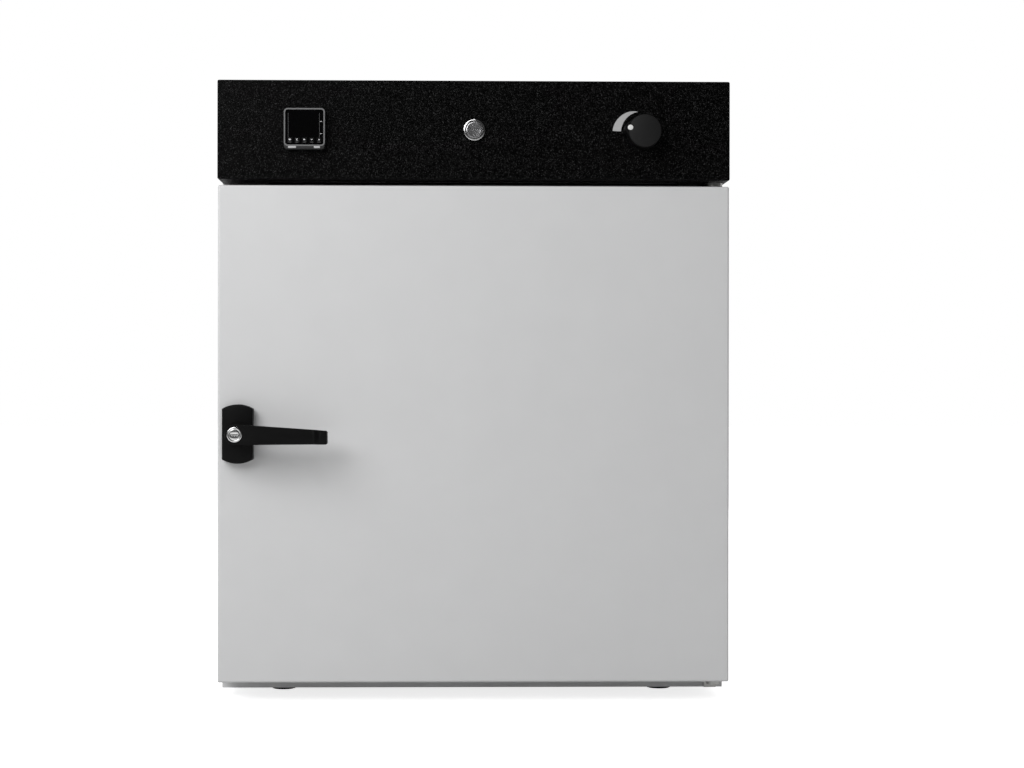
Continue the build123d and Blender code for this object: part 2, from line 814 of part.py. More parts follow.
def make_knob_cap():
    back = -knob_height + knob_cap_thickness
    cap = rod_y(knob_x, knob_z, knob_face_radius, -knob_height, back)
    along, up = nose_direction()
    dot_x, dot_z = knob_x + along * knob_dot_distance, knob_z + up * knob_dot_distance
    return cap - rod_y(dot_x, dot_z, knob_dot_radius + seat_fit, -knob_height, back)


def make_knob_dot():
    along, up = nose_direction()
    dot_x, dot_z = knob_x + along * knob_dot_distance, knob_z + up * knob_dot_distance
    return rod_y(dot_x, dot_z, knob_dot_radius, -knob_height - 0.2, -knob_height + knob_cap_thickness + 0.9)


def make_damper_rod():
    end = exhaust_depth + pipe_radius + 4.0
    rod = rod_y(knob_x, knob_z, rod_radius, -knob_height + 5.3, end)
    reach = pipe_bore - flap_play
    flat = slab(0, 2 * rod_radius, exhaust_depth - reach, exhaust_depth + reach, -2 * rod_radius, 2 * rod_radius)
    return rod - Pos(knob_x, 0, knob_z) * Rot(0, knob_rest_angle, 0) * flat


def make_damper_flap():
    disc = Rot(0, 90, 0) * Cylinder(pipe_bore - flap_play - seat_fit, flap_thickness)
    seated = Rot(0, knob_rest_angle, 0) * Pos(flap_thickness / 2, 0, 0) * disc
    return Pos(knob_x, exhaust_depth, knob_z) * seated


def make_exhaust_pipe():
    pipe = rod_z(knob_x, exhaust_depth, pipe_radius, chamber_roof, pipe_top)
    pipe -= rod_z(knob_x, exhaust_depth, pipe_bore, chamber_roof, pipe_top)
    reach = pipe_radius + 1.0
    return pipe - rod_y(knob_x, knob_z, rod_radius + running_fit, exhaust_depth - reach, exhaust_depth + reach)


def make_exhaust_spigot():
    top = case_top + spigot_flange + spigot_height
    spigot = rod_z(knob_x, exhaust_depth, spigot_flange_radius, case_top, case_top + spigot_flange)
    spigot += rod_z(knob_x, exhaust_depth, spigot_radius, case_top, top)
    return spigot - rod_z(knob_x, exhaust_depth, pipe_radius + seat_fit, case_top, top)


# Circulation fan, heater and probe

def make_fan_motor():
    body = rod_y(0, chamber_middle, motor_radius, motor_front, motor_front + motor_length)
    body = chamfer(body.faces().sort_by(Axis.Y)[-1].edges(), 4.0)
    flange = RectangleRounded(2 * motor_radius + 12.0, 2 * motor_radius + 12.0, 8.0)
    body += plate(flange, motor_front, motor_front + 3.0, 0, chamber_middle)
    return body - rod_y(0, chamber_middle, fan_shaft_radius + running_fit, motor_front, motor_front + motor_length - 8.0)


def make_fan_shaft():
    return rod_y(0, chamber_middle, fan_shaft_radius, fan_front - 3.0, motor_front + motor_length - 9.0)


def make_fan_impeller():
    plate_front = fan_front + fan_width - fan_plate
    wheel = rod_y(0, chamber_middle, fan_radius, plate_front, fan_front + fan_width)
    wheel += rod_y(0, chamber_middle, fan_hub_radius, fan_front, fan_front + fan_width)
    ring = plate(Circle(fan_radius) - Circle(fan_radius * 0.72), fan_front, fan_front + fan_plate, 0, chamber_middle)
    wheel += ring
    inner, outer = fan_radius * blade_root, fan_radius - blade_thickness
    blade = slab(inner, outer, fan_front + fan_plate / 2, plate_front + fan_plate / 2, 0, blade_thickness)
    leaned = Pos(outer, 0, 0) * Rot(0, blade_lean, 0) * Pos(-outer, 0, 0) * blade
    for n in range(fan_blades):
        wheel += Pos(0, 0, chamber_middle) * Rot(0, n * 360.0 / fan_blades, 0) * leaned
    return wheel - rod_y(0, chamber_middle, fan_shaft_radius + seat_fit, fan_front, fan_front + fan_width)


def make_air_baffle():
    half = half_chamber - face_gap
    low, high = chamber_floor + chamber_corner, chamber_roof - chamber_corner
    baffle = slab(-half, half, baffle_front, baffle_front + sheet, low, high)
    returns = []
    for side in (-1, 1):
        edges = sorted((side * half, side * (half - sheet)))
        returns.append(slab(*edges, baffle_front + sheet, chamber_back, low, high))
    rows = int(grille_radius / grille_pitch)
    for n in range(-rows, rows + 1):
        up = n * grille_pitch
        reach = (grille_radius ** 2 - up ** 2) ** 0.5
        baffle -= plate(Rectangle(2 * reach, grille_slit), baffle_front, baffle_front + sheet,
                        0, chamber_middle + up)
    steps = int((chamber_height / 2 - 30.0) / outlet_pitch)
    outlet = Rectangle(outlet_length, grille_slit)
    for side in (-1, 1):
        for n in range(-steps, steps + 1):
            baffle -= plate(outlet, baffle_front, baffle_front + sheet, side * (half - 40.0),
                            chamber_middle + n * outlet_pitch)
    baffle -= rod_y(probe_offset, probe_z(), probe_radius + hole_play, baffle_front, baffle_front + sheet)
    return group([baffle] + returns)


def make_heater_ring():
    lead = degrees(asin(heater_leg_spread / 2 / heater_radius))
    middle = (fan_front + fan_front + fan_width) / 2
    centre = Plane(origin=(0, middle, chamber_middle), x_dir=(1, 0, 0), z_dir=(0, -1, 0))
    loop = centre * CenterArc((0, 0), heater_radius, lead - 90.0, 360.0 - 2 * lead)
    section = Plane(origin=loop @ 0, z_dir=loop % 0) * RegularPolygon(heater_tube, 4)
    heater = sweep(section, path=loop)
    for side in (-1, 1):
        x = side * heater_leg_spread / 2
        heater += rod_y(x, heater_leg_z(), heater_tube, middle - heater_tube, inner_back + sheet + 12.0)
    return heater


def make_temperature_probe():
    tip = baffle_front - 18.0
    probe = rod_y(probe_offset, probe_z(), probe_radius, tip, inner_back + sheet + 6.0)
    return probe + rod_y(probe_offset, probe_z(), 3 * probe_radius, chamber_back - 4.0, chamber_back)


# Racks and shelves

def runner_z(level):
    return chamber_floor + first_runner + level * runner_pitch


def make_rack(side):
    wall = half_chamber
    front, rear = frame_back + runner_front, baffle_front - runner_rear
    foot, head = runner_z(0) - rack_end, runner_z(runner_levels - 1) + rack_end

    def across(inner, outer):
        return sorted((side * inner, side * outer))

    pieces = []
    for y in (front + rack_setback, rear - rack_setback - rack_post_width):
        pieces.append(slab(*across(wall - rack_sheet, wall), y, y + rack_post_width, foot, head))
    web = wall - 2 * rack_sheet
    for level in range(runner_levels):
        z = runner_z(level)
        runner = slab(*across(web, wall - rack_sheet), front, rear, z - rack_sheet, z + runner_lip)
        pieces.append(runner + slab(*across(web - runner_width, web), front, rear, z - rack_sheet, z))
    return group(pieces)


def make_shelf(level):
    """A welded grid: two side wires on the runners, stiff cross wires and thin wires over them."""
    z = runner_z(level) + frame_wire + runner_play
    front, rear = frame_back + runner_front + 5.0, baffle_front - runner_rear - 5.0
    shelf = rod_y(-shelf_half, z, frame_wire, front, rear)
    shelf += rod_y(shelf_half, z, frame_wire, front, rear)
    first, last = front + 2 * cross_wire, rear - 2 * cross_wire
    for n in range(cross_wires):
        y = first + (last - first) * n / (cross_wires - 1)
        shelf += slab(-shelf_half, shelf_half, y - cross_wire, y + cross_wire, z - cross_wire, z + cross_wire)
    low = z + cross_wire - weld_sink
    count = int((2 * shelf_half - 4 * frame_wire) / shelf_wire_pitch)
    for n in range(count + 1):
        x = (n - count / 2) * shelf_wire_pitch
        shelf += slab(x - shelf_wire, x + shelf_wire, first - cross_wire, last + cross_wire, low, low + 2 * shelf_wire)
    return shelf


# Electrical pieces inside and behind

def make_solid_state_relay():
    length, width, height = relay_size
    x, y = -half_case / 2, exhaust_depth
    fins = slab(x - length / 2, x + length / 2, y - width / 2, y + width / 2, deck_top, deck_top + height)
    count = 5
    pitch = width / count
    for n in range(1, count):
        fin_y = y - width / 2 + n * pitch
        fins -= slab(x - length / 2, x + length / 2, fin_y - pitch * 0.25, fin_y + pitch * 0.25,
                     deck_top + height * 0.6, deck_top + height)
    return fins


def inlet_body():
    return inlet_width * 0.56, inlet_tall * 0.84


def make_mains_inlet():
    body_width, body_height = inlet_body()
    z = inlet_z()
    inlet = plate(RectangleRounded(inlet_width, inlet_tall, 4.0), case_depth, case_depth + inlet_flange, knob_x, z)
    inlet += plate(Rectangle(body_width, body_height), case_depth - 22.0, case_depth, knob_x, z)
    mouth = RectangleRounded(body_width - 3.0, body_height - 3.0, 3.0)
    inlet -= plate(mouth, case_depth - 14.0, case_depth + inlet_flange, knob_x, z)
    for x, up in ((-7.0, -1.5), (0.0, 2.5), (7.0, -1.5)):
        inlet += slab(knob_x + x - 1.0, knob_x + x + 1.0, case_depth - 14.0, case_depth, z + up - 2.0, z + up + 2.0)
    return inlet


makers = {
    "outer_casing": make_outer_casing,
    "bottom_pan": make_bottom_pan,
    "feet": make_feet,
    "rear_panel": make_rear_panel,
    "rear_screws": make_rear_screws,
    "front_frame": make_front_frame,
    "electronics_deck": make_electronics_deck,
    "inner_back_plate": make_inner_back_plate,
    "chamber_liner": make_chamber_liner,
    "wall_insulation": make_wall_insulation,
    "rear_insulation": make_rear_insulation,
    "upper_hinge": make_upper_hinge,
    "lower_hinge": make_lower_hinge,
    "hinge_screws": make_hinge_screws,
    "hinge_bushes": make_hinge_bushes,
    "door_skin": make_door_skin,
    "door_inner_panel": make_door_inner_panel,
    "door_insulation": make_door_insulation,
    "door_seal": make_door_seal,
    "escutcheon": make_escutcheon,
    "escutcheon_screws": make_escutcheon_screws,
    "lever": make_lever,
    "lock_barrel": make_lock_barrel,
    "lock_plug": make_lock_plug,
    "latch_shaft": make_latch_shaft,
    "latch_cam": make_latch_cam,
    "strike_plate": make_strike_plate,
    "fascia": make_fascia,
    "controller_bezel": make_controller_bezel,
    "controller_window": make_controller_window,
    "controller_housing": make_controller_housing,
    "controller_clamp": make_controller_clamp,
    "switch_body": make_switch_body,
    "switch_cap": make_switch_cap,
    "switch_nut": make_switch_nut,
    "spindle_bush": make_spindle_bush,
    "knob_body": make_knob_body,
    "knob_cap": make_knob_cap,
    "knob_dot": make_knob_dot,
    "damper_rod": make_damper_rod,
    "damper_flap": make_damper_flap,
    "exhaust_pipe": make_exhaust_pipe,
    "exhaust_spigot": make_exhaust_spigot,
    "fan_motor": make_fan_motor,
    "fan_shaft": make_fan_shaft,
    "fan_impeller": make_fan_impeller,
    "air_baffle": make_air_baffle,
    "heater_ring": make_heater_ring,
    "temperature_probe": make_temperature_probe,
    "solid_state_relay": make_solid_state_relay,
    "mains_inlet": make_mains_inlet,
}

os.makedirs("parts", exist_ok=True)
for node, maker in makers.items():
    place(maker(), node)
for number, (x, z) in enumerate(key_places(), start=1):
    place(make_key(x, z), "key_" + str(number))
for side, name in ((-1, "rack_left"), (1, "rack_right")):
    place(make_rack(side), name)
for level, name in zip(shelf_levels, ("shelf_lower", "shelf_upper")):
    place(make_shelf(level), name)
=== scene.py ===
# Laboratory incubator: the looks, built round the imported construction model.
import bpy
import bmesh
import json
from math import acos, cos, pi, radians, sin
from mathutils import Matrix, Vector


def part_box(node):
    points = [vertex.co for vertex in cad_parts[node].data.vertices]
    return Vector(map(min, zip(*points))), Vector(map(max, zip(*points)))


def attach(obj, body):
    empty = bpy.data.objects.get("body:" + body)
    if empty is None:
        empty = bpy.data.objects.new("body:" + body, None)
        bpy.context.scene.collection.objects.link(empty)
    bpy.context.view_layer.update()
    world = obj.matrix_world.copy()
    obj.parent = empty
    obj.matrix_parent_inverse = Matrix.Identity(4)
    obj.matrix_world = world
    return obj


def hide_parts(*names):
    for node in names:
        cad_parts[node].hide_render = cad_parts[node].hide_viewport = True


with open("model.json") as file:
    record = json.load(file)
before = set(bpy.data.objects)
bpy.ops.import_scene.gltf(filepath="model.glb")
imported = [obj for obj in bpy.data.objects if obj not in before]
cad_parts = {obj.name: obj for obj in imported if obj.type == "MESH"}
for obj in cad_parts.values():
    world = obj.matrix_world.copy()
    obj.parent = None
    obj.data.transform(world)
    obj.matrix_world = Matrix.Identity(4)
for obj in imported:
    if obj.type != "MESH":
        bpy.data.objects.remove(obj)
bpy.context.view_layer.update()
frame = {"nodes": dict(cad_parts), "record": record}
mm = 0.001  # each piece's dictionary gives its sizes in millimetres
print("construction model loaded,", len(frame["nodes"]), "nodes")


# Places read from the construction model, and a helper for new objects
def middleOf(node):
    low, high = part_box(node)
    return (low + high) / 2


def frontOf(node):
    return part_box(node)[0].y


def addObject(name, data):
    thing = bpy.data.objects.new(name, data)
    bpy.context.collection.objects.link(thing)
    return thing


doorFront = frontOf("door_skin")
fasciaFront = frontOf("fascia")
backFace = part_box("rear_panel")[1].y
latchX, latchZ = middleOf("escutcheon").x, middleOf("escutcheon").z
switchX, switchZ = middleOf("switch_cap").x, middleOf("switch_cap").z
knobX, knobZ = middleOf("knob_cap").x, middleOf("knob_cap").z
chamberZ = middleOf("chamber_liner").z


# Camera, as the photograph was taken: level, a little left of the middle
viewpoint = {"place": (-0.0465, -2.464, 0.375), "turn": -1.2, "roll": -0.064, "lens": 66.12, "sensor": 36.0,
             "shift": 0.0374, "reach": 60.0}


def makeCamera():
    lens = bpy.data.cameras.new("photoCamera")
    lens.lens = viewpoint["lens"]
    lens.sensor_width = viewpoint["sensor"]
    lens.shift_x = viewpoint["shift"]
    lens.clip_end = viewpoint["reach"]
    camera = addObject("photoCamera", lens)
    camera.location = viewpoint["place"]
    camera.rotation_euler = (radians(90), radians(viewpoint["roll"]), radians(viewpoint["turn"]))
    bpy.context.scene.camera = camera


makeCamera()

# Soft studio light: a large key from the upper left in a dark room with a pale floor
studio = {
    "key": {"place": (-1.1, -1.6, 1.5), "aim": (0.0, -0.2, 0.35), "size": 1.4, "watts": 35.0},
    "fill": {"place": (2.4, -1.2, 1.6), "aim": (0.0, 0.0, 0.35), "size": 1.2, "watts": 2.5},
    "top": {"place": (0.2, 0.6, 2.4), "aim": (0.0, 0.1, 0.0), "size": 1.4, "watts": 9.0},
    "back": {"place": (1.4, 2.6, 1.6), "aim": (0.0, 0.2, 0.4), "size": 1.8, "watts": 24.0},
    "leftCard": {"place": (-2.3, 0.3, 0.6), "aim": (0.0, -0.1, 0.5), "size": 0.8, "watts": 3.0},
    "rightCard": {"place": (2.3, 0.5, 0.6), "aim": (0.0, -0.1, 0.5), "size": 0.8, "watts": 2.0},
    "above": {"place": (-0.1, -1.9, 2.0), "aim": (0.0, -0.25, 0.65), "size": 0.4, "watts": 3.0},
    "paper": 1.0,       # what the camera sees round the object
    "surround": 0.30,   # soft light from all round
    "darkRoom": 0.035,  # what gloss reflects beside the lamps
    "floorTone": 0.80,
    "floorGlow": 0.80,
    "floorHalf": 14.0,
    "floorRough": 0.9,
}


def makeLamp(name, row):
    lamp = bpy.data.lights.new(name, "AREA")
    lamp.shape = "SQUARE"
    lamp.size = row["size"]
    lamp.energy = row["watts"]
    holder = addObject(name, lamp)
    holder.location = row["place"]
    holder.rotation_euler = (Vector(row["aim"]) - Vector(row["place"])).to_track_quat("-Z", "Y").to_euler()


def makeWorld():
    world = bpy.data.worlds.new("studio")
    bpy.context.scene.world = world
    world.use_nodes = True
    nodes, links = world.node_tree.nodes, world.node_tree.links
    nodes.clear()
    output = nodes.new("ShaderNodeOutputWorld")
    ray = nodes.new("ShaderNodeLightPath")
    seen = nodes.new("ShaderNodeMixShader")
    lit = nodes.new("ShaderNodeMixShader")
    links.new(ray.outputs["Is Camera Ray"], seen.inputs[0])
    links.new(ray.outputs["Is Glossy Ray"], lit.inputs[0])
    for mixer, slotNumber, strength in ((lit, 1, "surround"), (lit, 2, "darkRoom"), (seen, 2, "paper")):
        glow = nodes.new("ShaderNodeBackground")
        glow.inputs["Strength"].default_value = studio[strength]
        glow.inputs["Color"].default_value = (1, 1, 1, 1)
        links.new(glow.outputs[0], mixer.inputs[slotNumber])
    links.new(lit.outputs[0], seen.inputs[1])
    links.new(seen.outputs[0], output.inputs["Surface"])


def makeFloor():
    mesh = bpy.data.meshes.new("floor")
    half = studio["floorHalf"]
    corners = [(-half, -half, 0), (half, -half, 0), (half, half, 0), (-half, half, 0)]
    mesh.from_pydata(corners, [], [(0, 1, 2, 3)])
    floor = addObject("floor", mesh)
    material = bpy.data.materials.new("paleFloor")
    material.use_nodes = True
    tree = material.node_tree
    shader = tree.nodes["Principled BSDF"]
    tone = studio["floorTone"]
    shader.inputs["Base Color"].default_value = (tone, tone, tone, 1)
    shader.inputs["Roughness"].default_value = studio["floorRough"]
    shader.inputs["Specular IOR Level"].default_value = 0.0
    glow = tree.nodes.new("ShaderNodeEmission")
    glow.inputs["Strength"].default_value = studio["floorGlow"]
    ray = tree.nodes.new("ShaderNodeLightPath")
    both = tree.nodes.new("ShaderNodeAddShader")
    choose = tree.nodes.new("ShaderNodeMixShader")
    tree.links.new(shader.outputs[0], both.inputs[0])
    tree.links.new(glow.outputs[0], both.inputs[1])
    tree.links.new(ray.outputs["Is Camera Ray"], choose.inputs[0])
    tree.links.new(shader.outputs[0], choose.inputs[1])
    tree.links.new(both.outputs[0], choose.inputs[2])
    tree.links.new(choose.outputs[0], tree.nodes["Material Output"].inputs["Surface"])
    mesh.materials.append(material)


for lampName in ("key", "fill", "top", "back", "leftCard", "rightCard", "above"):
    makeLamp(lampName, studio[lampName])
makeWorld()
makeFloor()
bpy.context.scene.view_settings.view_transform = "Standard"
print("camera, lights and floor ready")


# Surface effects, each a node group with its own named inputs; their fixed sizes stand here
# paintedGlints and paintedGlintBand place the painted highlights on the fascia coat's ridges
effectSizes = {"peelWaves": 24.0, "grit": 1500.0, "paintedGlints": 700.0, "paintedGlintBand": (0.50, 0.66),
               "ridgeWidth": 0.05, "grainBand": (0.3, 0.7), "woolClumps": 18.0,
               "patchBand": (0.35, 0.7), "wipeMarks": 140.0, "wipeBand": (0.45, 0.75)}


def addSocket(tree, label, side, kind, value=None):
    socket = tree.interface.new_socket(name=label, in_out=side, socket_type="NodeSocket" + kind)
    if value is not None:
        socket.default_value = value


def groupTree(name, inputs, outputs=("Height", "Tone")):
    tree = bpy.data.node_groups.new(name, "ShaderNodeTree")
    addSocket(tree, "Vector", "INPUT", "Vector")
    for label, value in inputs.items():
        addSocket(tree, label, "INPUT", "Float", value)
    for label in outputs:
        addSocket(tree, label, "OUTPUT", "Float")
    return tree, tree.nodes.new("NodeGroupInput"), tree.nodes.new("NodeGroupOutput")


def noiseNode(tree, vector, scale, detail, roughness=0.5, distortion=0.0):
    noise = tree.nodes.new("ShaderNodeTexNoise")
    noise.inputs["Detail"].default_value = detail
    noise.inputs["Roughness"].default_value = roughness
    noise.inputs["Distortion"].default_value = distortion
    tree.links.new(vector, noise.inputs["Vector"])
    if isinstance(scale, float):
        noise.inputs["Scale"].default_value = scale
    else:
        tree.links.new(scale, noise.inputs["Scale"])
    return noise.outputs["Fac"]


def mathNode(tree, kind, first, second=None):
    node = tree.nodes.new("ShaderNodeMath")
    node.operation = kind
    for slotNumber, value in enumerate((first, second)):
        if isinstance(value, float):
            node.inputs[slotNumber].default_value = value
        elif value is not None:
            tree.links.new(value, node.inputs[slotNumber])
    return node.outputs[0]


def rangeNode(tree, value, low, high, newLow=0.0, newHigh=1.0):
    node = tree.nodes.new("ShaderNodeMapRange")
    for label, number in (("From Min", low), ("From Max", high), ("To Min", newLow), ("To Max", newHigh)):
        node.inputs[label].default_value = number
    tree.links.new(value, node.inputs["Value"])
    return node.outputs["Result"]


def coatPeelGroup():
    # fine orange peel of a powder coat on long, shallow waves
    tree, given, result = groupTree("coatPeel", {"Scale": 900.0, "Waviness": 0.4})
    vector = given.outputs["Vector"]
    fine = noiseNode(tree, vector, given.outputs["Scale"], 1.0)
    waves = noiseNode(tree, vector, effectSizes["peelWaves"], 1.0)
    height = mathNode(tree, "ADD", fine, mathNode(tree, "MULTIPLY", waves, given.outputs["Waviness"]))
    tree.links.new(height, result.inputs["Height"])
    tree.links.new(waves, result.inputs["Tone"])
    return tree


def lumpyCoatPaintedGlintsGroup():
    # structured powder coat: short winding ridges as bump, and painted glints that lighten the colour on
    # some ridges
    tree, given, result = groupTree("lumpyCoatPaintedGlints", {"Scale": 430.0, "Winding": 0.6})
    vector = given.outputs["Vector"]
    ridges = noiseNode(tree, vector, given.outputs["Scale"], 2.0, 0.55, 0.9)
    folded = mathNode(tree, "ABSOLUTE", mathNode(tree, "SUBTRACT", ridges, 0.5))
    lumps = rangeNode(tree, folded, 0.0, effectSizes["ridgeWidth"], 1.0, 0.0)
    grit = noiseNode(tree, vector, effectSizes["grit"], 2.0)
    height = mathNode(tree, "ADD", lumps, mathNode(tree, "MULTIPLY", grit, given.outputs["Winding"]))
    # painted glints: the base colour is lightened on some ridges, standing in for highlights
    paintedGlintSpots = rangeNode(tree, noiseNode(tree, vector, effectSizes["paintedGlints"], 1.0), *effectSizes["paintedGlintBand"])
    paintedGlints = mathNode(tree, "MULTIPLY", lumps, paintedGlintSpots)
    tree.links.new(height, result.inputs["Height"])
    tree.links.new(paintedGlints, result.inputs["Tone"])
    return tree


def grainLinesGroup():
    # brushed or rolled metal; the material's mapping stretches the lines
    tree, given, result = groupTree("grainLines", {"Scale": 400.0, "Depth": 1.0})
    lines = noiseNode(tree, given.outputs["Vector"], given.outputs["Scale"], 5.0, 0.7)
    tree.links.new(mathNode(tree, "MULTIPLY", lines, given.outputs["Depth"]), result.inputs["Height"])
    tree.links.new(rangeNode(tree, lines, *effectSizes["grainBand"]), result.inputs["Tone"])
    return tree


def turnedRingsGroup():
    # fine circular tool marks round the Y axis of the mapped point
    tree, given, result = groupTree("turnedRings", {"Scale": 2600.0, "Jitter": 0.3})
    split = tree.nodes.new("ShaderNodeSeparateXYZ")
    tree.links.new(given.outputs["Vector"], split.inputs[0])
    across = mathNode(tree, "MULTIPLY", split.outputs[0], split.outputs[0])
    upward = mathNode(tree, "MULTIPLY", split.outputs[2], split.outputs[2])
    radius = mathNode(tree, "SQRT", mathNode(tree, "ADD", across, upward))
    lift = tree.nodes.new("ShaderNodeCombineXYZ")
    tree.links.new(radius, lift.inputs[0])
    marks = noiseNode(tree, lift.outputs[0], given.outputs["Scale"], 3.0, 0.6)
    tree.links.new(marks, result.inputs["Height"])
    tree.links.new(marks, result.inputs["Tone"])
    return tree


def zincSpangleGroup():
    # the crystal pattern of hot dipped zinc
    tree, given, result = groupTree("zincSpangle", {"Scale": 130.0, "Depth": 0.2})
    cells = tree.nodes.new("ShaderNodeTexVoronoi")
    tree.links.new(given.outputs["Vector"], cells.inputs["Vector"])
    tree.links.new(given.outputs["Scale"], cells.inputs["Scale"])
    tint = tree.nodes.new("ShaderNodeSeparateColor")
    tree.links.new(cells.outputs["Color"], tint.inputs[0])
    height = mathNode(tree, "MULTIPLY", tint.outputs[0], given.outputs["Depth"])
    tree.links.new(height, result.inputs["Height"])
    tree.links.new(tint.outputs[1], result.inputs["Tone"])
    return tree


def mouldGrainGroup():
    # spark-eroded texture of moulded plastic and rubber
    tree, given, result = groupTree("mouldGrain", {"Scale": 2200.0, "Depth": 1.0})
    grain = noiseNode(tree, given.outputs["Vector"], given.outputs["Scale"], 3.0, 0.6)
    tree.links.new(mathNode(tree, "MULTIPLY", grain, given.outputs["Depth"]), result.inputs["Height"])
    tree.links.new(grain, result.inputs["Tone"])
    return tree


def woolFibresGroup():
    # tangled strands in loose clumps
    tree, given, result = groupTree("woolFibres", {"Scale": 60.0, "Tangle": 4.0})
    vector = given.outputs["Vector"]
    strands = noiseNode(tree, vector, given.outputs["Scale"], 8.0, 0.8, 3.0)
    clumps = noiseNode(tree, vector, effectSizes["woolClumps"], 3.0)
    tree.links.new(mathNode(tree, "MULTIPLY", strands, given.outputs["Tangle"]), result.inputs["Height"])
    tree.links.new(mathNode(tree, "MULTIPLY", strands, clumps), result.inputs["Tone"])
    return tree


def handlingGroup():
    # where hands and cloths have been: wide soft patches and thin streaks for roughness
    tree, given, result = groupTree("handling", {"Scale": 9.0, "Streaks": 0.35}, ("Mask",))
    vector = given.outputs["Vector"]
    patches = noiseNode(tree, vector, given.outputs["Scale"], 3.0)
    patches = rangeNode(tree, patches, *effectSizes["patchBand"])
    streaks = noiseNode(tree, vector, effectSizes["wipeMarks"], 4.0, 0.7)
    streaks = rangeNode(tree, streaks, *effectSizes["wipeBand"])
    mixed = mathNode(tree, "ADD", patches, mathNode(tree, "MULTIPLY", streaks, given.outputs["Streaks"]))
    tree.links.new(mathNode(tree, "MINIMUM", mixed, 1.0), result.inputs["Mask"])
    return tree


effects = {
    "coatPeel": coatPeelGroup(), "lumpyCoatPaintedGlints": lumpyCoatPaintedGlintsGroup(), "grainLines": grainLinesGroup(),
    "turnedRings": turnedRingsGroup(), "zincSpangle": zincSpangleGroup(), "mouldGrain": mouldGrainGroup(),
    "woolFibres": woolFibresGroup(),
}
handling = handlingGroup()


